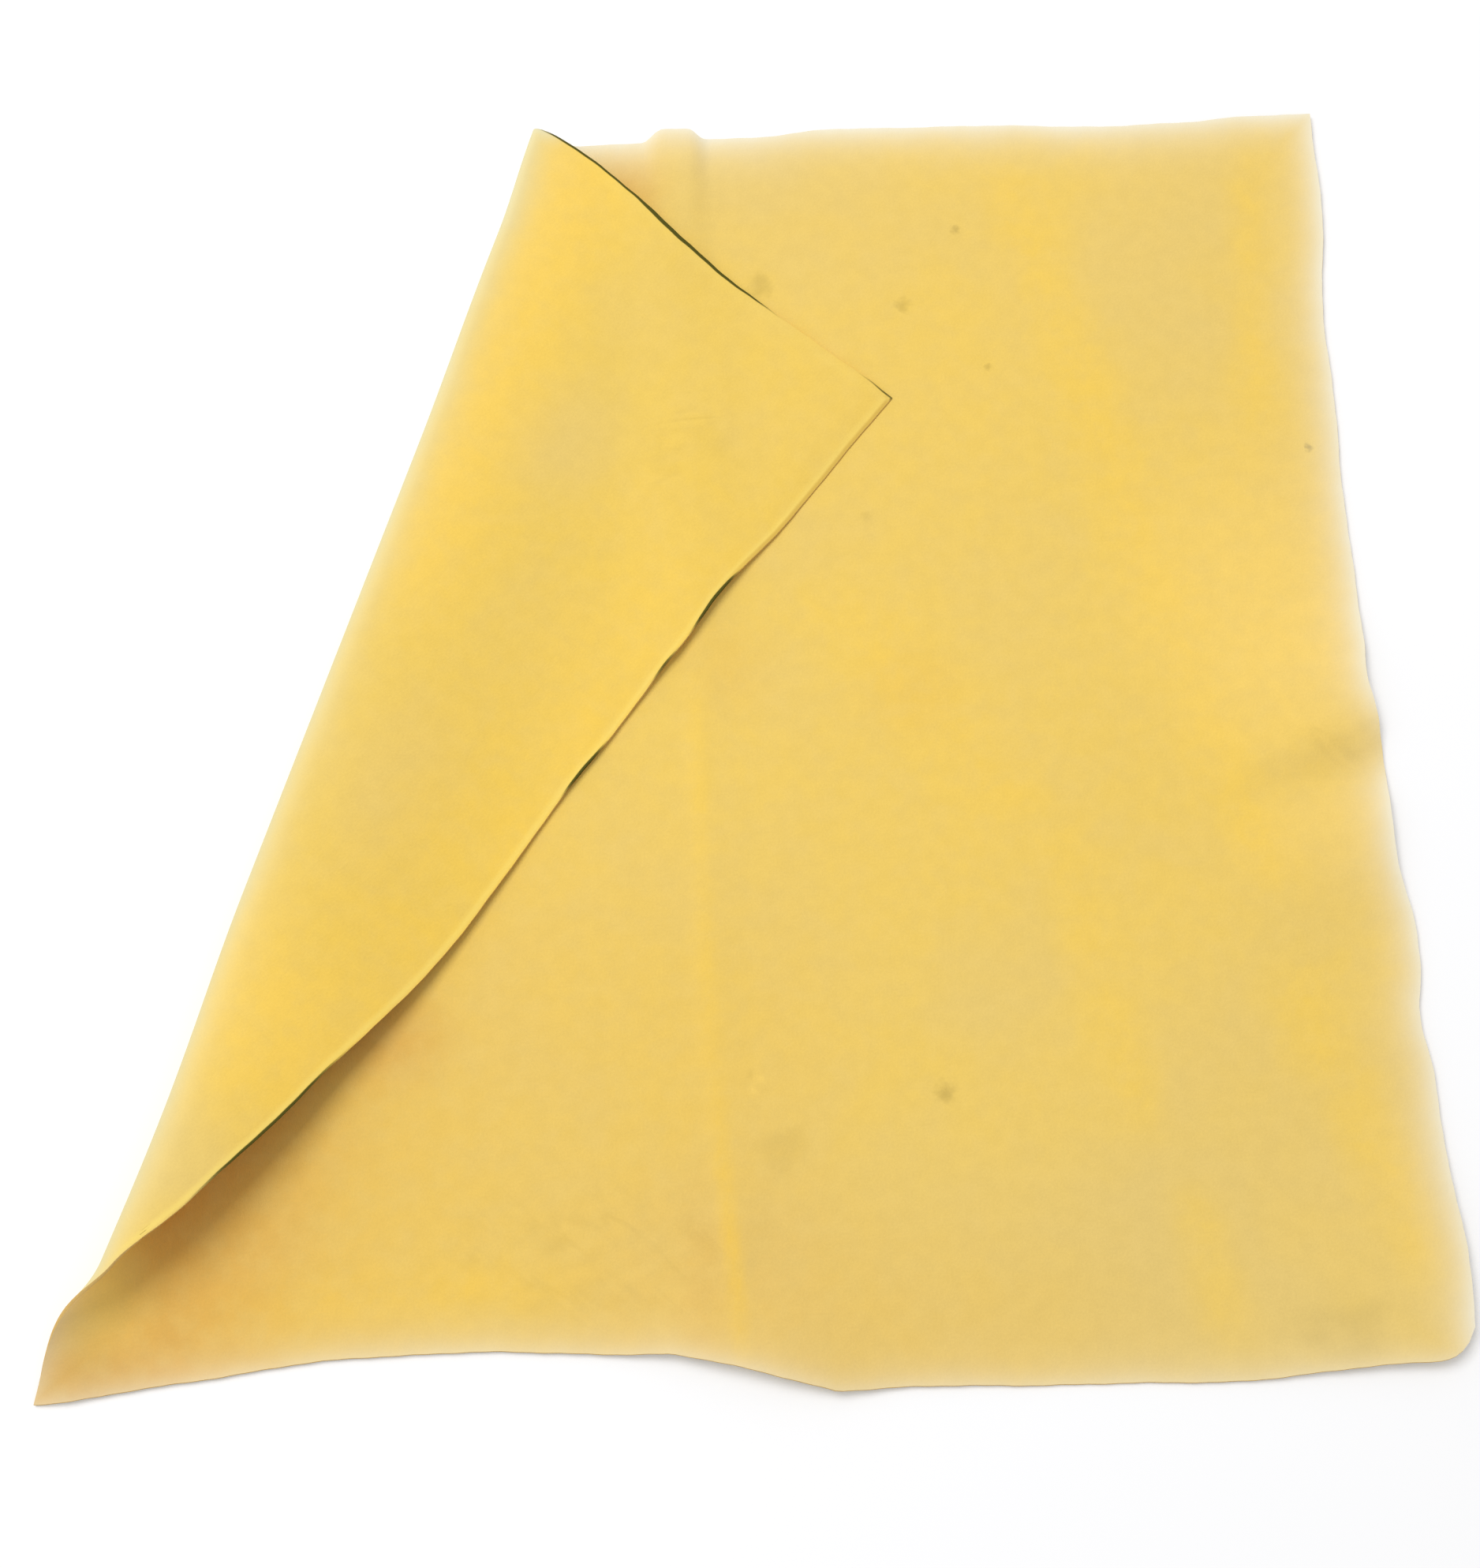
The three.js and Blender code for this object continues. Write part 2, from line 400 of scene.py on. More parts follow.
@dataclass(frozen=True)
class Relief:
    """What raises the lying sheet: a packing ridge and groove, lifted edges, slow waves and wrinkles.

    Attributes:
        ridge_from_left: the ridge's line at the front, with ridge_swing, how far left it moves behind that.
        ridge_flanks: how far its slopes reach to the left and right of that line.
        ridge_back_half_width: of its flat-topped end at the back edge, with ridge_back_flank, its slope.
        ridge_height: of its middle, with ridge_front_rise and ridge_back_rise, what its two ends add to it.
        bridge_width: how far the flap spans to each side of the ridge, and bridge_rise, how far it clears it.
        groove_from_front: where the groove meets the right edge, with groove_slant, its fall per unit inward.
        swelling_heights: of those before and behind the groove, with swelling_reach, how far in they go.
        swelling_before: the first one's widths, away from the groove and towards it, and swelling_behind, the
            other's.
        corner_lift: how far the front-right corner is raised.
        front_lift: how far the front edge is raised at its middle.
        waves: the slow waves of a soft sheet.
        wrinkles: the fine lines in the skin, and wrinkled, where they show: by the front edge, at the groove
            and on the flap.
        stray_right: how the wrinkles' lines stray to the right, by v and by u, and stray_back, to the back,
            by u and by v.
    """

    ridge_from_left: float = 200.8
    ridge_swing: float = 5.8
    ridge_swing_start: float = 14.0
    ridge_swing_length: float = 96.0
    ridge_flanks: Span = (5.0, 14.0)
    ridge_back_half_width: float = 11.5
    ridge_back_flank: float = 7.0
    ridge_height: float = 0.6
    ridge_front_rise: float = 0.9
    ridge_front_reach: float = 75.0
    ridge_back_rise: float = 1.7
    ridge_back_reach: float = 65.0
    bridge_width: float = 24.0
    bridge_rise: float = 0.9
    groove_from_front: float = 176.0
    groove_slant: float = 0.27
    swelling_heights: Span = (2.6, 3.6)
    swelling_before: Span = (34.0, 19.0)
    swelling_behind: Span = (46.0, 16.0)
    swelling_reach: float = 66.0
    corner_lift: float = 3.0
    corner_reach: float = 70.0
    front_lift: float = 4.6
    front_lift_from_left: float = 204.0
    front_lift_half_width: float = 48.0
    front_lift_reach: float = 36.0
    waves: tuple[Ripple, ...] = (
        Ripple(length=173.0, heading=24.0, phase=0.15, height=0.50),
        Ripple(length=118.0, heading=113.0, phase=0.70, height=0.35),
        Ripple(length=71.0, heading=-38.0, phase=0.40, height=0.18),
        Ripple(length=43.0, heading=68.0, phase=0.90, height=0.08),
    )
    wrinkles: tuple[Ripple, ...] = (
        Ripple(length=9.1, heading=40.0, phase=0.20, height=0.34),
        Ripple(length=7.7, heading=128.0, phase=0.65, height=0.16),
        Ripple(length=12.3, heading=62.0, phase=0.45, height=0.30),
    )
    wrinkled: tuple[Patch, ...] = (
        Patch(158.0, 38.0, (78.0, 32.0), 1.0),
        Patch(388.0, 181.0, (30.0, 15.0), 1.0),
        Patch(40.0, 345.0, (24.0, 32.0), 0.9),
    )
    stray_right: tuple[Stray, Stray] = (Stray(3.0, 11.0), Stray(1.7, 7.3, 1.1))
    stray_back: tuple[Stray, Stray] = (Stray(3.4, 13.0), Stray(1.9, 5.9, 0.4))

    def ridge_line(self, v: Array) -> Array:
        """The ridge's u: straight from front to back, with one slow step to the left."""
        through = smooth((v - self.ridge_swing_start) / self.ridge_swing_length)
        return self.ridge_from_left - self.ridge_swing * through

    def ridge_top(self, v: Array, cut: Cut) -> tuple[Array, Array]:
        """The height of the packing ridge along its line.

        Args:
            v: places on the flat sheet, to the back.
            cut: the outline.

        Returns:
            The height, which rises by a smoothstep to both edges, and the share of its rise at the back.
        """
        front = self.ridge_front_rise * (1.0 - smooth(v / self.ridge_front_reach))
        back = smooth((v - cut.depth + self.ridge_back_reach) / self.ridge_back_reach)
        return self.ridge_height + front + self.ridge_back_rise * back, back

    def ridge(self, u: Array, v: Array, cut: Cut) -> Array:
        """The packing ridge.

        Args:
            u: places on the flat sheet, to the right.
            v: places on the flat sheet, to the back.
            cut: the outline.

        Returns:
            Its height · smoothstep up the flank on that side, with a flat top at the back edge.
        """
        height, back = self.ridge_top(v, cut)
        aside = u - self.ridge_line(v)
        reach = np.where(aside < 0.0, *self.ridge_flanks)
        half = mix(reach, self.ridge_back_half_width, back)
        return height * smooth((half - np.abs(aside)) / mix(reach, self.ridge_back_flank, back))

    def swellings(self, u: Array, v: Array, cut: Cut) -> Array:
        """The two swellings at the right edge, with the slanting groove between them.

        Args:
            u: places on the flat sheet, to the right.
            v: places on the flat sheet, to the back.
            cut: the outline.

        Returns:
            The sum of a hump before the groove and one behind it, fading inwards from the edge.
        """
        inward = cut.right.at(v) - u
        from_groove = v + self.groove_slant * inward - self.groove_from_front
        gentle, steep = self.swelling_before
        before = self.swelling_heights[0] * hump(from_groove, -steep, gentle, steep)
        gentle, steep = self.swelling_behind
        behind = self.swelling_heights[1] * hump(from_groove, steep, steep, gentle)
        return (before + behind) * hump(inward, 0.0, self.swelling_reach)

    def sway(self, u: Array, v: Array) -> Array:
        """The slow waves of a soft sheet: the sum of the plane waves."""
        return sum(wave.at(u, v) for wave in self.waves)

    def crumple(self, u: Array, v: Array) -> Array:
        """The fine wrinkles.

        Args:
            u: places on the flat sheet, to the right.
            v: places on the flat sheet, to the back.

        Returns:
            The sum of crossed ripples, read at places that stray, inside the soft patches.
        """
        bent_u = u + self.stray_right[0].at(v) + self.stray_right[1].at(u)
        bent_v = v + self.stray_back[0].at(u) + self.stray_back[1].at(v)
        return patched(self.wrinkled, u, v) * sum(line.at(bent_u, bent_v) for line in self.wrinkles)

    def lift(self, u: Array, v: Array, cut: Cut) -> Array:
        """How far the lying sheet is raised from the table.

        Args:
            u: places on the flat sheet, to the right.
            v: places on the flat sheet, to the back.
            cut: the outline.

        Returns:
            The larger of the packing ridge and the lifted front edge, with the two swellings beside the
            groove at the right edge, the raised front-right corner, the slow waves and the wrinkles added.
        """
        edge = cut.right.at(v)
        corner = self.corner_lift * hump(np.hypot(u - edge, v - cut.front.at(edge)), 0.0, self.corner_reach)
        along = hump(u, self.front_lift_from_left, self.front_lift_half_width)
        front = self.front_lift * along * hump(v, cut.front.at(u), self.front_lift_reach)
        raised = np.maximum(self.ridge(u, v, cut), front) + self.swellings(u, v, cut) + corner
        return raised + self.sway(u, v) + self.crumple(u, v)

    def bridge(self, x: Array, y: Array, cut: Cut) -> Array:
        """How far the flap is raised where it lies across the packing ridge."""
        height, _ = self.ridge_top(y, cut)
        return (height + self.bridge_rise) * hump(x, self.ridge_line(y), self.bridge_width)


@dataclass(frozen=True)
class EdgeLift:
    """A place where the flap's free edge stands off the sheet below it.

    Attributes:
        from_front: its middle, along the left edge of the flat sheet.
        half_width: how far it reaches each way along the edge.
        reach: how far it reaches in from the edge.
        height: how far the edge stands up.
    """

    from_front: float
    half_width: float
    reach: float
    height: float

    def at(self, inward: Array, v: Array) -> Array:
        """height · hump along the edge · hump inwards from the edge."""
        return self.height * hump(v, self.from_front, self.half_width) * hump(inward, 0.0, self.reach)


@dataclass(frozen=True)
class FoldedSheet:
    """The flat sheet's outline, its fold and its relief, and the way from the flat sheet to the folded one.

    Attributes:
        thickness: of the leather.
        centre: the point of the flat sheet that lies at the part's origin.
        edge_lifts: where the flap's free edge stands up.
        edge_curl: how far the flap's cut edges curl up, and edge_curl_reach, how far in that starts.
        pressed: the share of its thickness that the flap's tip has lost at its free edge, with pressed_from,
            where that starts along the edge, pressed_length, how soon it is full, pressed_reach, how far in
            it goes, and pressed_down, how much nearer to the sheet below the edge lies.
        normal_step: the step over the flat sheet from which a direction is taken.
    """

    cut: Cut = field(default_factory=Cut)
    fold: Fold = field(default_factory=Fold)
    relief: Relief = field(default_factory=Relief)
    thickness: float = 1.0
    centre: Span = (204.6086, 200.05)
    edge_lifts: tuple[EdgeLift, ...] = (
        EdgeLift(from_front=243.0, half_width=22.0, reach=22.0, height=0.45),
        EdgeLift(from_front=308.0, half_width=36.0, reach=22.0, height=0.7),
        EdgeLift(from_front=200.0, half_width=22.0, reach=24.0, height=0.3),
    )
    edge_curl: float = 0.25
    edge_curl_reach: float = 3.0
    pressed: float = 0.6
    pressed_from: float = 322.0
    pressed_length: float = 40.0
    pressed_reach: float = 9.0
    pressed_down: float = 0.1
    normal_step: float = 0.05

    def line(self, u: Array, v: Array) -> tuple[Array, Array]:
        """How far along the fold a flat point lies from the front-left corner, and how far across it."""
        _, rightward, backward = self.fold.directions(self.cut)
        return u * rightward + v * backward, v * rightward - u * backward

    def radius(self, along: Array) -> Array:
        """The roll's radius at mid-thickness."""
        length, _, _ = self.fold.directions(self.cut)
        return self.fold.radius(along, length, self.thickness / 2.0)

    def seam(self, v: Array) -> Array:
        """Where the roll leaves the table, which is a straight line on the flat sheet.

        Args:
            v: places along the sheet, from front to back.

        Returns:
            The u at which the distance across the fold is a quarter turn of the roll, on its lower side.
        """
        length, rightward, backward = self.fold.directions(self.cut)
        start = self.radius(np.zeros(1))[0]
        narrowing = (self.radius(np.full(1, length))[0] - start) / length
        quarter = math.pi / 2.0
        raised = quarter * (start + narrowing * v * backward) + v * rightward
        return raised / (backward - quarter * narrowing * rightward)

    def from_crest(self, along: Array, across: Array) -> Array:
        """How far a place lies from the roll's crest, seen from above.

        Args:
            along: the distance along the fold.
            across: the distance across it, to the flap.

        Returns:
            radius · (1 - cos turn), up to a quarter turn, and then the way on.
        """
        radius, away = self.radius(along), np.abs(across)
        round_the_roll = radius * (1.0 - np.cos(np.minimum(away / radius, math.pi / 2.0)))
        return round_the_roll + np.maximum(away - radius * math.pi / 2.0, 0.0)

    def pressing(self, u: Array, v: Array) -> Array:
        """How hard the leather is pressed down and thinned: fully at the free edge of the flap's tip."""
        inward = np.maximum(u - self.cut.left.at(v), 0.0)
        return smooth((v - self.pressed_from) / self.pressed_length) * hump(inward, 0.0, self.pressed_reach)

    def place(self, u: Array, v: Array) -> Array:
        """The folded place of points of the flat sheet, at mid-thickness.

        Past the seam the sheet bends at a steady curve until it has turned half way round, and then lies back
        over itself, sinking to the sheet below. Towards the front-left corner the curve opens out to nothing.

        Args:
            u: places on the flat sheet, to the right.
            v: places on the flat sheet, to the back.

        Returns:
            An array with x, y and z along its last axis, in millimetres from the flat sheet's corner.
        """
        _, rightward, backward = self.fold.directions(self.cut)
        along, across = self.line(u, v)
        radius = self.radius(along)
        bend = radius * math.pi / 2.0
        opening = smooth(np.hypot(u, v - self.cut.front.base) / self.fold.mouth_reach)
        curve = np.maximum(opening / radius, self.fold.flattest_curve)
        turn = np.clip((across + bend) * curve, 0.0, math.pi)
        beyond = np.maximum(across + bend - math.pi / curve, 0.0)
        out = np.sin(turn) / curve - bend - beyond - self.fold.aside(along, across, bend)
        x = along * rightward - out * backward
        y = along * backward + out * rightward
        settling = smooth(beyond / self.fold.settle_length)
        lying = self.thickness + self.fold.flap_clearance + self.relief.sway(x, y)
        inward = np.maximum(u - self.cut.left.at(v), 0.0)
        to_cut = np.minimum(inward, np.maximum(self.cut.back.at(u) - v, 0.0))
        raised = self.relief.bridge(x, y, self.cut) + sum(lift.at(inward, v) for lift in self.edge_lifts)
        pressing = self.pressing(u, v)
        curl = self.edge_curl * hump(to_cut, 0.0, self.edge_curl_reach) * (1.0 - pressing)
        raised = raised + curl + self.relief.crumple(u, v)
        raised = raised - (self.thickness / 2.0 * self.pressed + self.pressed_down) * pressing
        roll = (1.0 - np.cos(turn)) / curve
        base = self.relief.sway(u, v) * (1.0 - smooth((across + bend) / bend))
        turned_z = mix(roll + base, lying, settling) + np.where(beyond > 0.0, raised, 0.0)
        flat = across <= -bend
        z = np.where(flat, self.relief.lift(u, v, self.cut), turned_z) + self.thickness / 2.0
        return np.stack([np.where(flat, u, x), np.where(flat, v, y), z], axis=-1)

    def facing(self, u: Array, v: Array) -> Array:
        """The direction square to the leather, on the side inside the fold.

        Args:
            u: places on the flat sheet, to the right.
            v: places on the flat sheet, to the back.

        Returns:
            The unit cross product of the ways that small steps in u and in v lead.
        """
        step = self.normal_step
        right = self.place(u + step, v) - self.place(u - step, v)
        back = self.place(u, v + step) - self.place(u, v - step)
        square = np.cross(right, back)
        return square / np.linalg.norm(square, axis=-1, keepdims=True)

    def in_frame(self, points: Array) -> Array:
        """Millimetres from the flat sheet's corner, as metres in the part's frame."""
        return (points - np.array([*self.centre, 0.0])) * MM


@dataclass(frozen=True)
class Streak:
    """A soft band on the nap along a path of flat places, from its back end to its front. Most are brush
    strokes; those on the packing ridge are painted highlight.

    Attributes:
        path: the flat places.
        half_width: of the band.
        strength: of its middle.
        fade: over what length it fades at each end.
        slope_step: the step along the path from which its slope is taken.
    """

    path: tuple[Span, ...]
    half_width: float
    strength: float
    fade: float = 22.0
    slope_step: float = 6.0

    def at(self, u: Array, v: Array) -> Array:
        """Reads the band.

        The path gives the band's middle u for each v, and its slope there turns the distance in u into the
        distance across the band.

        Args:
            u: places on the flat sheet, to the right.
            v: places on the flat sheet, to the back.

        Returns:
            strength · hump across the band · a fade at its ends.
        """
        places = np.array(self.path)[::-1]
        middle, ahead, behind = (np.interp(v + step, places[:, 1], places[:, 0])
                                 for step in (0.0, self.slope_step, -self.slope_step))
        across = (u - middle) / np.hypot(1.0, (ahead - behind) / (2.0 * self.slope_step))
        ends = smooth((v - places[0, 1]) / self.fade + 0.5) * smooth((places[-1, 1] - v) / self.fade + 0.5)
        return self.strength * hump(across, 0.0, self.half_width) * ends


@dataclass(frozen=True)
class Spot:
    """A small soft mark on the skin: a flat place, its radius and how dark it is, or how pale, below 0."""

    u: float
    v: float
    radius: float
    depth: float


@dataclass(frozen=True)
class Cloud:
    """A cloudy pattern in a finish.

    Attributes:
        scale: its repeats for each metre.
        detail: how many finer layers it has.
        roughness: how strong those are.
        distortion: how far it is stirred.
        seen: the two values of the pattern that are carried to the ends of given.
        given: the range that it is carried to.
        stretch: a heading in degrees, and the length in metres of a repeat along it and across it.
    """

    scale: float
    detail: float
    roughness: float = 0.5
    distortion: float = 0.0
    seen: Span = (0.0, 1.0)
    given: Span = (0.0, 1.0)
    stretch: tuple[float, float, float] | None = None


class Graph:
    """A material's node tree, with short calls that add a node and link its inputs."""

    def __init__(self, name: str) -> None:
        """Makes an empty material with its output node.

        Args:
            name: the material's name.
        """
        self.material: Material = bpy.data.materials.new(name)
        self.material.use_nodes = True
        self.tree = self.material.node_tree
        self.tree.nodes.clear()
        self.output = self.tree.nodes.new("ShaderNodeOutputMaterial")

    def add(self, kind: str, **settings: Any) -> bpy.types.Node:
        """Adds a node.

        Args:
            kind: the node's type.
            **settings: its properties.

        Returns:
            The new node.
        """
        node = self.tree.nodes.new(kind)
        for name, value in settings.items():
            setattr(node, name, value)
        return node

    def feed(self, socket: Socket, value: Any) -> None:
        """Links a socket to another's output, or sets its own value.

        Args:
            socket: the input.
            value: an output socket, or a plain value.
        """
        if isinstance(value, bpy.types.NodeSocket):
            self.tree.links.new(value, socket)
        else:
            socket.default_value = value

    def attribute(self, name: str, output: str = "Fac") -> Socket:
        """Reads an attribute of the mesh as a number, "Fac", or a "Vector"."""
        return self.add("ShaderNodeAttribute", attribute_name=name).outputs[output]

    def math(self, operation: str, *values: Any) -> Socket:
        """One arithmetic step on numbers.

        Args:
            operation: the step's name.
            *values: output sockets or plain numbers.

        Returns:
            The result.
        """
        node = self.add("ShaderNodeMath", operation=operation)
        for socket, value in zip(node.inputs, values):
            self.feed(socket, value)
        return node.outputs[0]

    def times(self, a: Any, b: Any) -> Socket:
        """The product of two numbers."""
        return self.math("MULTIPLY", a, b)

    def span(self, value: Any, seen: Span, given: Span = (0.0, 1.0)) -> Socket:
        """Carries a number from one range to another along a smoothstep.

        Args:
            value: the number.
            seen: the range that it comes from.
            given: the range that it goes to.

        Returns:
            The carried number.
        """
        node = self.add("ShaderNodeMapRange", interpolation_type="SMOOTHSTEP")
        for name, part in zip(("Value", "From Min", "From Max", "To Min", "To Max"), (value, *seen, *given)):
            self.feed(node.inputs[name], part)
        return node.outputs["Result"]

    def blend(self, share: Any, a: Any, b: Any, how: str = "MIX") -> Socket:
        """Mixes two colours.

        Args:
            share: how much of the second one there is.
            a: the first colour.
            b: the second colour.
            how: the way of mixing.

        Returns:
            The mixed colour.
        """
        node = self.add("ShaderNodeMix", data_type="RGBA", blend_type=how)
        for socket, value in zip((node.inputs[0], node.inputs[6], node.inputs[7]), (share, a, b)):
            self.feed(socket, value)
        return node.outputs[2]

    def noise(self, place: Socket, cloud: Cloud) -> Socket:
        """A cloudy pattern as it comes, from 0 to 1.

        Args:
            place: where it is read.
            cloud: its sizes.

        Returns:
            The pattern, stretched along its heading if it has one.
        """
        if cloud.stretch is not None:
            heading, along, across = cloud.stretch
            turned = self.add("ShaderNodeMapping", vector_type="TEXTURE")
            self.feed(turned.inputs["Vector"], place)
            turned.inputs["Rotation"].default_value = (0.0, 0.0, math.radians(heading))
            turned.inputs["Scale"].default_value = (along, across, across)
            place = turned.outputs["Vector"]
        node = self.add("ShaderNodeTexNoise")
        for name, value in (("Vector", place), ("Scale", cloud.scale), ("Detail", cloud.detail),
                            ("Roughness", cloud.roughness), ("Distortion", cloud.distortion)):
            self.feed(node.inputs[name], value)
        return node.outputs["Fac"]

    def cloud(self, place: Socket, cloud: Cloud) -> Socket:
        """A cloudy pattern, carried to its own range."""
        return self.span(self.noise(place, cloud), cloud.seen, cloud.given)

    def bump(self, height: Socket, size: Span, under: Socket | None = None) -> Socket:
        """A bumped normal.

        Args:
            height: the pattern that stands up.
            size: the strength of the bump and its height in metres.
            under: the normal that it stands on, if it has one.

        Returns:
            The new normal.
        """
        node = self.add("ShaderNodeBump")
        node.inputs["Strength"].default_value, node.inputs["Distance"].default_value = size
        self.feed(node.inputs["Height"], height)
        if under is not None:
            self.feed(node.inputs["Normal"], under)
        return node.outputs["Normal"]

    def surface(self, shader: Socket) -> Material:
        """Links the finished shader to the output."""
        self.tree.links.new(shader, self.output.inputs["Surface"])
        return self.material


@dataclass(frozen=True)
class Nap:
    """The patterns of the nap, the same on both faces. A bump is its strength and its height in metres.

    Attributes:
        mottling: slow clouds of flat and raised nap.
        brushing: long faint strokes of raised nap.
        raggedness: what breaks the streaks.
        rubbing: small pale patches.
        flecks: small light and dark flecks, and grain, the finest ones.
        creases: the pattern whose middle value draws the crease lines, with crease_breaks, what interrupts
            them, and crease_painted_shade, the painted shade that darkens them.
        wearing: what makes the bleached bands uneven.
        matt: the roughness.
        hollows: the soft hollows of the skin.
        fibres: the standing fibres.
        skive: from where to where a slanting cut shows, in millimetres from it, and skive_strength, how much.
        line_end: how softly the line of painted shadow beside a cut edge ends, and line_start, the share of
            edge_stain_and_shadow with which it shows.
        mark_detail: the layers of a mark's ragged outline, with mark_repeats, how often that repeats in a
            radius, mark_ragged, how far it strays, in radii, mark_seen, the values that stray furthest, and
            mark_reach, the radii over which a mark fades.
    """

    mottling: Cloud = Cloud(16.0, 4.0, 0.55, 0.4, seen=(0.3, 0.7), given=(-0.2, 0.35))
    brushing: Cloud = Cloud(1.0, 2.0, 0.5, 0.3, (0.52, 0.78), (0.0, 0.2), stretch=(-72.0, 0.14, 0.045))
    raggedness: Cloud = Cloud(45.0, 4.0, 0.6, 0.5, seen=(0.3, 0.65), given=(0.6, 1.0))
    rubbing: Cloud = Cloud(110.0, 3.0, 0.6, seen=(0.35, 0.7), given=(0.0, 0.26))
    flecks: Cloud = Cloud(170.0, 3.0, 0.6, seen=(0.3, 0.7), given=(0.982, 1.016))
    grain: Cloud = Cloud(1500.0, 2.0, 0.6, seen=(0.25, 0.75), given=(0.975, 1.022))
    creases: Cloud = Cloud(1.0, 1.0, 0.5, 0.35, (0.0, 0.13), (1.0, 0.0), stretch=(-44.0, 0.03, 0.0075))
    crease_breaks: Cloud = Cloud(70.0, 2.0, seen=(0.35, 0.6), given=(0.1, 1.0))
    crease_painted_shade: float = 0.955
    crease_bump: Span = (0.5, 0.00036)
    wearing: Cloud = Cloud(28.0, 4.0, 0.6, seen=(0.3, 0.66), given=(0.82, 1.0))
    matt: Cloud = Cloud(210.0, 2.0, seen=(0.3, 0.7), given=(0.82, 1.0))
    hollows: Cloud = Cloud(190.0, 3.0, 0.6)
    hollow_bump: Span = (0.25, 0.0006)
    fibres: Cloud = Cloud(1.0, 2.0, 0.7, stretch=(-72.0, 0.0011, 0.00044))
    fibre_bump: Span = (0.4, 0.00018)
    skive: Span = (0.6, 1.6)
    skive_strength: float = 0.6
    line_end: Span = (-0.05, 0.3)
    line_start: Span = (0.05, 0.4)
    mark_detail: float = 2.0
    mark_repeats: float = 0.6
    mark_ragged: float = 0.6
    mark_seen: Span = (0.2, 0.8)
    mark_reach: float = 2.0
    specular: float = 0.12
    sheen: float = 0.2
    sheen_roughness: float = 0.5
    sheen_tint: Colour = (255, 230, 160)


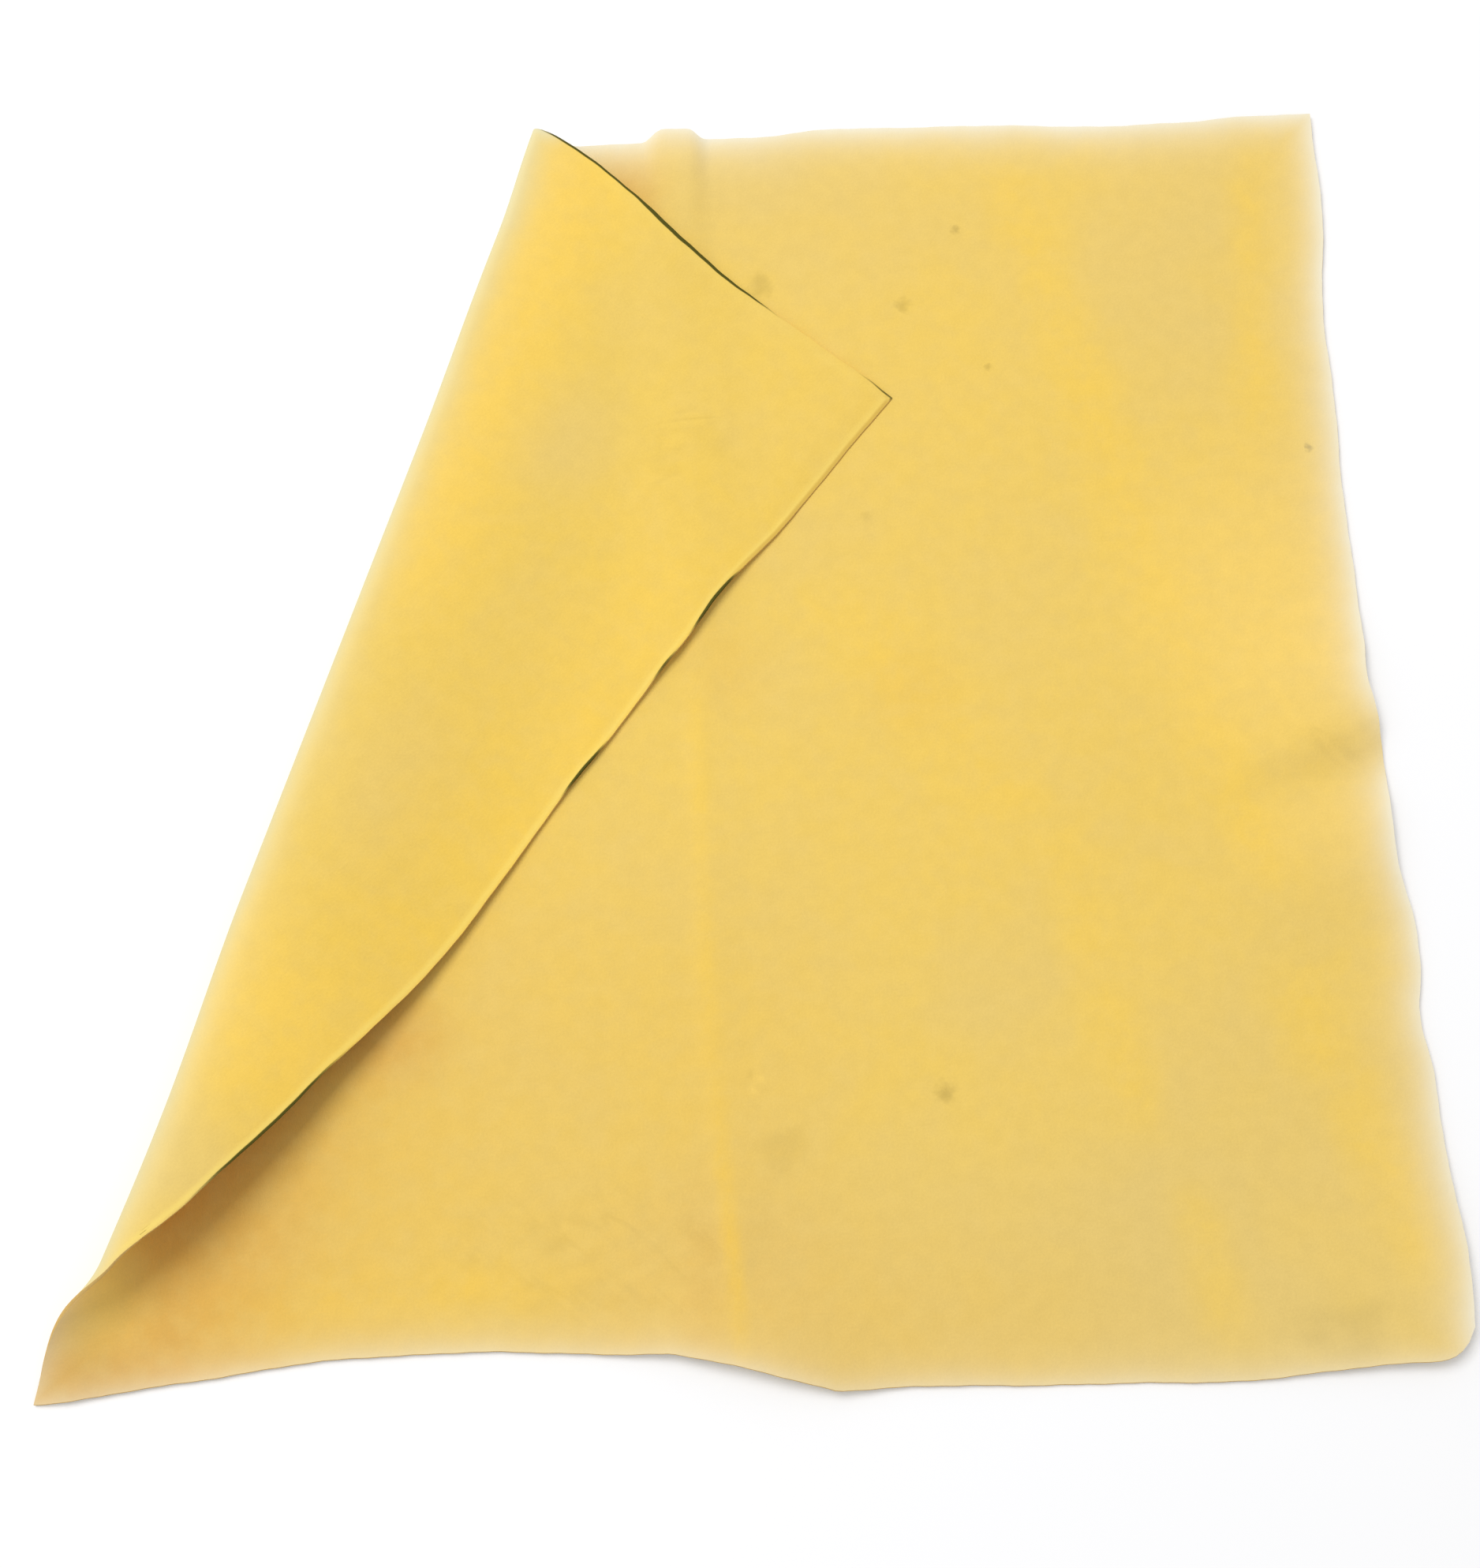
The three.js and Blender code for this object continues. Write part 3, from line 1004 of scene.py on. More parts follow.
@dataclass(frozen=True)
class SuedeFinish:
    """The napped face of the skin: mottled yellow, streaks of brush strokes, small marks and a soft sheen,
    with painted light and painted shade.

    Colours are display colours from 0 to 255.

    Attributes:
        base: the plain skin.
        pale: where the nap is flattened by rubbing, and the painted shade of duller places.
        deep: where the nap is raised by brushing, and the painted highlight along the packing ridge.
        painted_light: the brighter yellow of painted light that the painted_light_share attribute brings.
        tan: the browner colour that its attribute brings, partly the skin's own brown and partly painted
            shade in the mouth of the fold, and that of a slanting cut.
        worn: the bleached nap along cut edges and the fold.
        rim: the painted highlight along the flap's cut edges.
        line: the painted shadow, with some stains, beside a cut edge, line_width wide, in millimetres.
        spots: the small marks, a few of them painted shade and painted highlight.
        nap: the patterns.
    """

    name: str
    base: Colour
    pale: Colour
    deep: Colour
    painted_light: Colour
    tan: Colour
    worn: Colour
    rim: Colour
    line: Colour
    line_width: float
    spots: tuple[Spot, ...] = ()
    nap: Nap = Nap()

    def colour(self, graph: Graph, flat: Socket) -> Socket:
        """Builds the colour, layer by layer, from the plain skin to the painted shadow beside the cut edges,
        with painted light and painted shade among the layers.

        Args:
            graph: the material that the nodes go into.
            flat: the place on the flat sheet, in metres.

        Returns:
            The socket that holds the colour.
        """
        nap = self.nap
        # painted shade: duller places, with nap flattened by rubbing
        rubbed_and_painted_shade = graph.math("ADD", graph.attribute("rubbed_and_painted_shade"), graph.cloud(flat, nap.mottling))
        shown = graph.blend(rubbed_and_painted_shade, linear(self.base), linear(self.pale))
        for share, colour in (
            (graph.cloud(flat, nap.brushing), self.deep),
            # brush strokes, with painted highlight along the packing ridge
            (graph.times(graph.attribute("streak"), graph.cloud(flat, nap.raggedness)), self.deep),
            # painted shade: the mouth of the fold browned where the flap shades it
            (graph.attribute("tan"), self.tan),
            # painted light: a fuller yellow where the light falls fully
            (graph.attribute("painted_light_share"), self.painted_light),
            (graph.cloud(flat, nap.rubbing), self.pale),
        ):
            shown = graph.blend(share, shown, linear(colour))
        shown = graph.blend(1.0, shown, self.shade(graph, flat), "MULTIPLY")
        # painted shadow, with some stains, beside the flap's cut edges
        from_cut, stained_and_shadowed = graph.attribute("from_cut"), graph.attribute("edge_stain_and_shadow")
        slant = graph.span(from_cut, nap.skive, (nap.skive_strength, 0.0))
        past_line = graph.math("SUBTRACT", from_cut, graph.times(stained_and_shadowed, self.line_width))
        beside = graph.span(past_line, nap.line_end, (1.0, 0.0))
        stain_and_shadow_line = graph.times(beside, graph.span(stained_and_shadowed, nap.line_start))
        for share, colour in (
            (graph.times(graph.attribute("wear"), graph.cloud(flat, nap.wearing)), self.worn),
            # painted highlight along the flap's cut edges
            (graph.attribute("rim"), self.rim),
            (graph.times(slant, graph.attribute("skived")), self.tan),
            (stain_and_shadow_line, self.line),
        ):
            shown = graph.blend(share, shown, linear(colour))
        return shown

    def shade(self, graph: Graph, flat: Socket) -> Socket:
        """The fine light and dark of the skin, with painted shade in its creases and at some of its marks.

        Args:
            graph: the material that the nodes go into.
            flat: the place on the flat sheet, in metres.

        Returns:
            The product of the flecks, the grain, the creases and the marks, as a grey.
        """
        toned = graph.times(graph.cloud(flat, self.nap.flecks), graph.cloud(flat, self.nap.grain))
        # painted shade darkens the crease lines
        creased = graph.span(self.creased(graph, flat), (0.0, 1.0), (1.0, self.nap.crease_painted_shade))
        toned = graph.times(toned, creased)
        for spot in self.spots:
            toned = graph.times(toned, self.mark(graph, flat, spot))
        grey = graph.add("ShaderNodeCombineColor")
        for socket in grey.inputs[:3]:
            graph.feed(socket, toned)
        return grey.outputs[0]

    def creased(self, graph: Graph, flat: Socket) -> Socket:
        """Fine crease lines.

        Args:
            graph: the material that the nodes go into.
            flat: the place on the flat sheet, in metres.

        Returns:
            Broken lines where a stretched pattern crosses its middle, as strong as the wrinkle attribute.
        """
        creases = self.nap.creases
        off_middle = graph.math("ABSOLUTE", graph.math("SUBTRACT", graph.noise(flat, creases), 0.5))
        lines = graph.span(off_middle, creases.seen, creases.given)
        broken = graph.times(lines, graph.cloud(flat, self.nap.crease_breaks))
        return graph.times(broken, graph.attribute("wrinkle"))

    def mark(self, graph: Graph, flat: Socket, spot: Spot) -> Socket:
        """A soft mark with a ragged outline.

        Args:
            graph: the material that the nodes go into.
            flat: the place on the flat sheet, in metres.
            spot: the mark's place, size and depth.

        Returns:
            A factor that goes from 1 at the mark's reach to 1 - depth in its middle.
        """
        nap, radius = self.nap, spot.radius * MM
        distance = graph.add("ShaderNodeVectorMath", operation="DISTANCE")
        graph.feed(distance.inputs[0], flat)
        distance.inputs[1].default_value = (spot.u * MM, spot.v * MM, 0.0)
        strays = (-nap.mark_ragged * radius, nap.mark_ragged * radius)
        outline = Cloud(nap.mark_repeats / radius, nap.mark_detail, seen=nap.mark_seen, given=strays)
        ragged = graph.math("ADD", distance.outputs["Value"], graph.cloud(flat, outline))
        return graph.span(ragged, (0.0, nap.mark_reach * radius), (1.0 - spot.depth, 1.0))

    def build(self) -> Material:
        """Makes the material, with the nap's fibres as bump over the creases and the soft hollows.

        Returns:
            The finished material.
        """
        nap, graph = self.nap, Graph(self.name)
        flat = graph.attribute("flat", "Vector")
        shader = graph.add("ShaderNodeBsdfPrincipled")
        hollows = graph.bump(graph.noise(flat, nap.hollows), nap.hollow_bump)
        creases = graph.bump(graph.math("SUBTRACT", 1.0, self.creased(graph, flat)), nap.crease_bump, hollows)
        for name, value in (
            ("Base Color", self.colour(graph, flat)),
            ("Roughness", graph.cloud(flat, nap.matt)),
            ("Specular IOR Level", nap.specular),
            ("Sheen Weight", nap.sheen),
            ("Sheen Roughness", nap.sheen_roughness),
            ("Sheen Tint", linear(nap.sheen_tint)),
            ("Normal", graph.bump(graph.noise(flat, nap.fibres), nap.fibre_bump, creases)),
        ):
            graph.feed(shader.inputs[name], value)
        return graph.surface(shader.outputs["BSDF"])


@dataclass(frozen=True)
class CutFinish:
    """The raw cut edge: the skin's browner middle with its fibres showing, and the stains and painted shadow
    on it.

    Attributes:
        base: the plain cut.
        fibre: its fibres.
        stain_and_shadow: the stains and painted shadow that the edge_stain_and_shadow attribute brings, from
            the values in stain_and_shadow_start.
        fibres: the fibres' pattern, with fibre_bump, its strength and its height in metres.
        matt: the roughness, for the pattern's values in matt_seen.
    """

    name: str
    base: Colour
    fibre: Colour
    stain_and_shadow: Colour
    fibres: Cloud = Cloud(700.0, 3.0, 0.65, seen=(0.25, 0.7))
    fibre_bump: Span = (0.5, 0.0002)
    stain_and_shadow_start: Span = (0.05, 0.5)
    matt: Span = (0.85, 1.0)
    matt_seen: Span = (0.2, 0.8)
    specular: float = 0.1

    def build(self) -> Material:
        """Makes the material: two browns in a fine fibrous pattern, under the stains and painted shadow of
        the edge_stain_and_shadow attribute.

        Returns:
            The finished material.
        """
        graph = Graph(self.name)
        flat = graph.attribute("flat", "Vector")
        shader = graph.add("ShaderNodeBsdfPrincipled")
        fibres = graph.noise(flat, self.fibres)
        shown = graph.blend(graph.span(fibres, self.fibres.seen), linear(self.base), linear(self.fibre))
        # painted shadow, with some stains, on the cut face
        stained_and_shadowed = graph.span(graph.attribute("edge_stain_and_shadow"), self.stain_and_shadow_start)
        for name, value in (
            ("Base Color", graph.blend(stained_and_shadowed, shown, linear(self.stain_and_shadow))),
            ("Roughness", graph.span(fibres, self.matt_seen, self.matt)),
            ("Specular IOR Level", self.specular),
            ("Normal", graph.bump(fibres, self.fibre_bump)),
        ):
            graph.feed(shader.inputs[name], value)
        return graph.surface(shader.outputs["BSDF"])


@dataclass(frozen=True)
class Tones:
    """Where the skin's colour changes over the sheet. Each method gives a share from 0 to 1.

    Attributes:
        streaks: streaks of brush strokes on the upper face of the lying sheet, and a painted highlight along
            the packing ridge.
        front_band: the band of nap raised by brushing behind its front edge, with front_band_end, where that
            ends on the right.
        flap_band: the flap's band of nap raised by brushing inside its free edge, with flap_band_start, where
            that starts behind the mouth, and flap_band_fade, how much it fades towards the tip.
        rubbed_and_shaded_patches: where the upper face's nap is flattened by rubbing and painted shade dulls
            it, and rubbed_and_shaded_flap_patches, the same on the flap.
        lit_patches: painted light, where the upper face is a lighter yellow, and lit_flap_patches, where the
            flap is.
        fold_painted_light: painted light, a fuller yellow, on the flap's side of the fold, with
            fold_painted_light_along, what is added to it from front to back, and fold_painted_light_across,
            how it lies across the fold.
        tan_and_shade_across: how the upper face browns towards the fold, as painted shade in the mouth, and
            tan_and_shade_along, where that fades to the back.
        tan_and_shade_patches: browner patches on the upper face, some of them painted shade.
        front_wear: the bleached band of the front edge, with back_wear, right_wear and corner_wear, those of
            the back edge, the right edge and the corner by the mouth, and crest_wear, that outside the fold.
        groove_break: where the groove breaks the right edge's band.
        lying_end: where the lying sheet's bands end at the fold, with crest_start, where the crest's starts,
            and corner_end, where the corner's ends to the back.
        rim: the painted highlight along the flap's cut edges, with rim_start, where that starts past the
            fold.
        skived_from: where the flap's slanting cut starts to show along its free edge.
        free_stains_and_shadows: the stretches of the flap's free edge with painted shadow and some stains.
        back_stains_and_shadows: those of its back edge.
    """

    streaks: tuple[Streak, ...] = (
        Streak(((304.0, 384.0), (318.0, 330.0), (332.0, 270.0), (341.0, 228.0)),
               half_width=18.0, strength=0.75),
        Streak(((343.0, 236.0), (353.0, 184.0), (366.0, 141.0)), half_width=18.0, strength=0.8),
        Streak(((236.0, 238.0), (273.0, 191.0), (297.0, 158.0)), half_width=24.0, strength=0.7),
        Streak(((303.0, 156.0), (309.0, 120.0), (320.0, 70.0)), half_width=15.0, strength=0.65),
        Streak(((333.0, 50.0), (340.0, 6.0)), half_width=14.0, strength=0.55),
        Streak(((368.0, 110.0), (383.0, 72.0), (395.0, 40.0), (399.0, 22.0)), half_width=18.0, strength=0.7),
        Streak(((384.0, 385.0), (377.0, 285.0)), half_width=11.0, strength=0.6),
        # painted highlight along the packing ridge's crest
        Streak(((195.0, 205.0), (195.2, 112.0), (197.3, 66.0), (200.2, 26.0), (200.8, 4.0)),
               half_width=4.6, strength=0.6),
        Streak(((197.3, 66.0), (200.2, 26.0), (200.8, 4.0)), half_width=4.0, strength=0.4),
    )
    front_band: Bump = Bump(by=0.9, centre=17.0, left=13.0, right=13.0)
    front_band_end: Step = Step(by=1.0, start=125.0, length=60.0)
    flap_band: Bump = Bump(by=0.85, centre=6.0, left=30.0, right=62.0)
    flap_band_start: Step = Step(by=1.0, start=78.0, length=44.0)
    flap_band_fade: Step = Step(by=0.7, start=250.0, length=110.0)
    # painted shade: the duller front of the sheet and other places where less light falls, with nap flattened
    # by rubbing
    rubbed_and_shaded_patches: tuple[Patch, ...] = (
        Patch(330.0, 10.0, (190.0, 120.0), 0.75),
        Patch(354.0, 66.0, (84.0, 92.0), 0.3),
        Patch(178.0, 34.0, (96.0, 64.0), 0.45),
        Patch(232.0, 378.0, (80.0, 50.0), 0.55),
        Patch(362.0, 350.0, (66.0, 74.0), 0.65),
        Patch(288.0, 114.0, (44.0, 44.0), 0.5),
    )
    # painted shade on the flap, with nap flattened by rubbing
    rubbed_and_shaded_flap_patches: tuple[Patch, ...] = (
        Patch(74.0, 322.0, (32.0, 42.0), 0.85),
        Patch(84.0, 372.0, (34.0, 34.0), 0.5),
        Patch(12.0, 84.0, (32.0, 36.0), 0.9),
        Patch(34.0, 203.0, (36.0, 40.0), 0.8),
        Patch(24.0, 366.0, (46.0, 34.0), 0.4),
    )
    # painted light: lit slopes beside the groove, and the inside of the mouth's tip
    lit_patches: tuple[Patch, ...] = (
        Patch(376.0, 224.0, (66.0, 78.0), 0.8),
        Patch(388.0, 150.0, (40.0, 26.0), 0.4),
        Patch(16.0, 36.0, (28.0, 25.0), 1.0),
    )
    # painted light on the flap by its free edge
    lit_flap_patches: tuple[Patch, ...] = (
        Patch(6.0, 130.0, (30.0, 36.0), 0.75),
    )
    # painted light: the bright band where the roll faces the lamp
    fold_painted_light: float = 0.15
    fold_painted_light_along: tuple[Step | Bump, ...] = (
        Step(by=0.75, start=224.0, length=46.0),
        Bump(by=0.75, centre=126.0, left=44.0, right=44.0),
    )
    fold_painted_light_across: Bump = Bump(by=1.0, centre=15.0, left=15.0, right=36.0)
    # painted shade: the upper face browns where the flap shades the mouth of the fold
    tan_and_shade_across: tuple[Step, ...] = (
        Step(by=0.45, start=-150.0, length=125.0),
        Step(by=0.5, start=-72.0, length=46.0),
    )
    tan_and_shade_along: Step = Step(by=1.0, start=70.0, length=130.0)
    tan_and_shade_patches: tuple[Patch, ...] = (
        Patch(178.0, 382.0, (20.0, 22.0), 0.75),
        Patch(262.0, 204.0, (26.0, 24.0), 0.14),
        Patch(205.0, 215.0, (22.0, 26.0), 0.17),
        Patch(196.0, 90.0, (70.0, 80.0), 0.14),
        Patch(230.0, 6.0, (130.0, 60.0), 0.2),
        Patch(182.0, 34.0, (84.0, 58.0), 0.2),
        Patch(190.0, 28.0, (9.0, 40.0), 0.16),
        # painted shade under the flap's free edge, behind the mouth
        Patch(101.0, 104.0, (28.0, 22.0), 0.6),
    )
    front_wear: Fringe = Fringe(strength=0.48, reach=4.2)
    back_wear: Fringe = Fringe(strength=1.0, reach=5.8)
    right_wear: Fringe = Fringe(strength=1.0, reach=5.6)
    corner_wear: Fringe = Fringe(strength=0.4, reach=4.6)
    crest_wear: Fringe = Fringe(strength=1.0, reach=5.2)
    groove_break: Bump = Bump(by=0.6, centre=182.0, left=18.0, right=18.0)
    lying_end: Step = Step(by=1.0, start=4.0, length=12.0)
    crest_start: Step = Step(by=1.0, start=-6.0, length=6.0)
    corner_end: Step = Step(by=1.0, start=34.0, length=22.0)
    # painted highlight along the flap's cut edges
    rim: Bump = Bump(by=0.45, centre=1.0, left=1.0, right=1.9)
    rim_start: Step = Step(by=1.0, start=6.0, length=12.0)
    skived_from: Step = Step(by=1.0, start=306.0, length=30.0)
    # painted shadow, with some stains, where the flap's free edge stands off the sheet below
    free_stains_and_shadows: tuple[Bump, ...] = (
        Bump(by=0.6, centre=311.0, left=22.0, right=18.0),
        Bump(by=0.35, centre=284.0, left=12.0, right=12.0),
        Bump(by=0.5, centre=243.0, left=18.0, right=18.0),
        Bump(by=0.5, centre=105.0, left=48.0, right=48.0),
    )
    # painted shadow, with some stains, along the flap's back edge
    back_stains_and_shadows: tuple[Bump, ...] = (
        Bump(by=0.85, centre=80.0, left=46.0, right=60.0),
        Bump(by=0.4, centre=97.0, left=18.0, right=14.0),
        Bump(by=0.55, centre=135.0, left=35.0, right=18.0),
        Bump(by=0.35, centre=0.0, left=16.0, right=22.0),
    )

    def brushed_and_ridge_highlight(self, u: Array, v: Array, cut: Cut) -> Array:
        """Where the upper face is raised by brushing: its streaks, with a painted highlight along the packing
        ridge, and the band behind the front edge.
        """
        band = self.front_band.at(v - cut.front.at(u)) * (1.0 - self.front_band_end.at(u))
        return np.clip(sum(streak.at(u, v) for streak in self.streaks) + band, 0.0, 1.0)

    def brushed_flap(self, u: Array, v: Array, cut: Cut) -> Array:
        """Where the flap's nap is raised by brushing: the band inside its free edge."""
        fading = (1.0 - self.flap_band_fade.at(v)) * self.flap_band_start.at(v)
        return self.flap_band.at(u - cut.left.at(v)) * fading

    def rubbed_and_painted_shade(self, u: Array, v: Array, layer: Array) -> Array:
        """Where the nap is flattened by rubbing and painted shade dulls it: the patches of that face."""
        return mix(patched(self.rubbed_and_shaded_patches, u, v), patched(self.rubbed_and_shaded_flap_patches, u, v), layer)

    def painted_light_share(self, u: Array, v: Array, across: Array, layer: Array) -> Array:
        """How much painted light there is, as a fuller yellow.

        Args:
            u: places on the flat sheet, to the right.
            v: places on the flat sheet, to the back.
            across: the distance across the fold, to the flap.
            layer: 0 on the face inside the fold and 1 on the face outside it.

        Returns:
            The patches of that face, and on the outside a band along the flap's side of the fold, strongest
            at the back and by the mouth.
        """
        amount = self.fold_painted_light + sum(form.at(v) for form in self.fold_painted_light_along)
        turned = amount * self.fold_painted_light_across.at(across) + patched(self.lit_flap_patches, u, v)
        return np.clip(mix(patched(self.lit_patches, u, v), turned, layer), 0.0, 1.0)

    def tan(self, u: Array, v: Array, across: Array) -> Array:
        """How brown the upper face is, partly painted shade: most in the mouth of the fold, fading to the
        right and to the back.
        """
        near = sum(form.at(across) for form in self.tan_and_shade_across) * (1.0 - self.tan_and_shade_along.at(v))
        return np.clip(near + patched(self.tan_and_shade_patches, u, v), 0.0, 1.0)

    def wear(self, v: Array, across: Array, from_crest: Array, from_cuts: Array, layer: Array) -> Array:
        """How bleached the nap is.

        Args:
            v: places on the flat sheet, to the back.
            across: the distance across the fold, to the flap.
            from_crest: the distance from the roll's crest, seen from above.
            from_cuts: the distances to the front, back, right and left cut edges.
            layer: 0 on the face inside the fold and 1 on the face outside it.

        Returns:
            The largest of a thin band along the front edge, wider ones along the back edge and the right
            edge, which the groove breaks, a faint one round the corner by the mouth and one on the outside of
            the fold's crest.
        """
        front, back, right, left = from_cuts
        right_band = self.right_wear.at(right) * (1.0 - self.groove_break.at(v))
        edges = np.maximum.reduce((self.front_wear.at(front), self.back_wear.at(back), right_band))
        lying = edges * (1.0 - self.lying_end.at(across))
        corner = self.corner_wear.at(left) * (1.0 - self.corner_end.at(v)) * (1.0 - layer)
        crest = self.crest_wear.at(from_crest) * self.crest_start.at(across) * layer
        return np.maximum.reduce((lying, corner, crest))

    def painted_rim_highlight(self, across: Array, from_cut: Array, layer: Array) -> Array:
        """How strong the painted highlight along the flap's cut edges is: a thin line inside the painted
        shadow.
        """
        return self.rim.at(from_cut) * self.rim_start.at(across) * layer

    def free_edge_nearer(self, u: Array, v: Array, cut: Cut) -> Array:
        """Whether the flap's free edge is nearer than its back edge."""
        return u - cut.left.at(v) < cut.back.at(u) - v

    def skived(self, u: Array, v: Array, cut: Cut) -> Array:
        """How much of the flap's slanting cut shows from above: the free edge by its tip."""
        return np.where(self.free_edge_nearer(u, v, cut), self.skived_from.at(v), 0.0)

    def stain_and_shadow(self, u: Array, v: Array, cut: Cut) -> Array:
        """How much painted shadow, with some stains, the flap's rim takes.

        Args:
            u: places on the flat sheet, to the right.
            v: places on the flat sheet, to the back.
            cut: the outline.

        Returns:
            The stretches of the cut edge that is nearer, held between 0 and 1.
        """
        free = sum(stain_and_shadow.at(v) for stain_and_shadow in self.free_stains_and_shadows)
        back = sum(stain_and_shadow.at(u) for stain_and_shadow in self.back_stains_and_shadows)
        return np.clip(np.where(self.free_edge_nearer(u, v, cut), free, back), 0.0, 1.0)


@dataclass(frozen=True)
class Leather:
    """The chamois leather: one sheet in three pieces, a lying one, the fold's open mouth and the turned flap.

    The lying piece meets the other two where the roll leaves the table.

    Attributes:
        sheet: the flat outline, the fold and the relief.
        tones: where the skin's colour changes.
        rows: grid steps from front to back, the same across the sheet, so that the pieces' edges meet.
        row_crowding: how much the rows crowd together towards the front edge, up to 1.
        mouth_rows: those of them, from the front edge, that the mouth takes.
        grid_rounds: how often the two rules of a grid are repeated.
        lying_columns: grid steps across the lying piece.
        bend_columns: grid steps round the roll, with bend_crowding, how they crowd together towards the seam.
        bend_width: what they span, in half turns of the roll, and bend_share, the most of the turned piece's
            width that they may take.
        flap_columns: grid steps across the flap.
        cut_bulge: how far the middle of the cut edge stands out.
        blend_half: half the thickness of the slab in which the roll passes from the sheet to the flap.
        blend_slope: the fall of that slab to the right.
        mouth_climb: the rise of that slab to the front in the mouth.
    """

    sheet: FoldedSheet = field(default_factory=FoldedSheet)
    tones: Tones = field(default_factory=Tones)
    rows: int = 240
    row_crowding: float = 0.45
    mouth_rows: int = 52
    grid_rounds: int = 8
    lying_columns: int = 184
    bend_columns: int = 44
    bend_crowding: float = 1.6
    bend_width: float = 1.2
    bend_share: float = 0.62
    flap_columns: int = 74
    cut_bulge: float = 0.18
    blend_half: float = 1.4
    blend_slope: float = 0.2
    mouth_climb: float = 0.2

    def grid(self, columns_at: Callable[[Array], Array]) -> tuple[Array, Array]:
        """A grid over the flat sheet whose rows run from the front edge to the back edge.

        Each point's v is the row's share of the way between the two edges at its u, and its u is the column's
        place at that v, so the two are found by repeating both rules until they agree.

        Args:
            columns_at: gives the u of every column for an array of v with a row of values for each grid row.

        Returns:
            The u and v of the grid's points.
        """
        cut = self.sheet.cut
        step = np.linspace(0.0, 1.0, self.rows + 1)[:, None]
        share = mix(step, step ** 2, self.row_crowding)
        v = mix(cut.front.base, cut.depth, share)
        for _ in range(self.grid_rounds):
            u = columns_at(v)
            v = mix(cut.front.at(u), cut.back.at(u), share)
        return columns_at(v), v

    def lying_columns_at(self, v: Array) -> Array:
        """The lying piece's columns: evenly spread from the seam to the right edge."""
        share = np.linspace(0.0, 1.0, self.lying_columns + 1)
        return mix(self.sheet.seam(v), self.sheet.cut.right.at(v), share)

    def turned_columns_at(self, v: Array) -> Array:
        """The turned piece's columns.

        Args:
            v: places on the flat sheet, to the back.

        Returns:
            The u of every column: evenly over the flap from the left edge, and then closer and closer round
            the roll, up to the seam.
        """
        seam, edge = self.sheet.seam(v), self.sheet.cut.left.at(v)
        _, _, backward = self.sheet.fold.directions(self.sheet.cut)
        roll = self.sheet.radius(v / backward) * math.pi * self.bend_width / backward
        start = seam - np.minimum(roll, (seam - edge) * self.bend_share)
        step = np.arange(self.flap_columns + self.bend_columns + 1)
        over_flap = mix(edge, start, np.minimum(step / self.flap_columns, 1.0))
        through = np.clip((step - self.flap_columns) / self.bend_columns, 0.0, 1.0)
        return over_flap + (seam - start) * (1.0 - (1.0 - through) ** self.bend_crowding)

    def from_cuts(self, u: Array, v: Array) -> Array:
        """How far places lie from the cut edges of the flat sheet.

        Args:
            u: places on the flat sheet, to the right.
            v: places on the flat sheet, to the back.

        Returns:
            The distances to the front, back, right and left edges, along the first axis.
        """
        cut = self.sheet.cut
        sides = (v - cut.front.at(u), cut.back.at(u) - v, cut.right.at(v) - u, u - cut.left.at(v))
        return np.maximum(np.stack(sides), 0.0)

    def outward(self, middle: Array, seam_row: int | None, seam_column: int) -> Array:
        """The direction out of the sheet at the grid's border, and nothing inside it and along the seams.

        Args:
            middle: the folded grid.
            seam_row: the row that meets another piece, if one does.
            seam_column: the column that meets another piece.

        Returns:
            For each grid point, the unit sum of the directions out of its border row and its border column.
        """
        ends = np.array([0, -1])
        along_rows, along_columns = np.zeros_like(middle), np.zeros_like(middle)
        along_rows[ends] = middle[ends] - middle[[1, -2]]
        along_columns[:, ends] = middle[:, ends] - middle[:, [1, -2]]
        along_columns[:, seam_column] = 0.0
        if seam_row is not None:
            along_rows[seam_row] = 0.0
        total = sum(part / np.maximum(np.linalg.norm(part, axis=-1, keepdims=True), TINY)
                    for part in (along_rows, along_columns))
        return total / np.maximum(np.linalg.norm(total, axis=-1, keepdims=True), TINY)

    def quads(self, rows: int, columns: int) -> tuple[Array, Array, Array]:
        """The four-sided faces of a closed piece over a grid.

        Its points are numbered over the inner face, then over the outer face, and then round the rim.

        Args:
            rows: the grid's rows of points.
            columns: the grid's columns of points.

        Returns:
            Each face's points, each face's slot, and the border's points in their order round the inner face.
        """
        count = rows * columns
        index = np.arange(count).reshape(rows, columns)
        ring = np.concatenate([index[0, :-1], index[:-1, -1], index[-1, :0:-1], index[:0:-1, 0]])
        corners = (index[:-1, :-1], index[:-1, 1:], index[1:, 1:], index[1:, :-1])
        inside = np.stack(corners, axis=-1).reshape(-1, 4)
        outside = inside[:, ::-1] + count
        after = np.roll(np.arange(len(ring)), -1)
        rim = np.arange(len(ring)) + 2 * count
        upper = np.stack([ring[after], ring, rim, rim[after]], axis=-1)
        lower = np.stack([rim[after], rim, ring + count, ring[after] + count], axis=-1)
        sides = (inside, outside, upper, lower)
        slots = (Slot.NAP.value, Slot.FLESH.value, Slot.CUT.value, Slot.CUT.value)
        return np.concatenate(sides), np.repeat(slots, [len(side) for side in sides]), ring

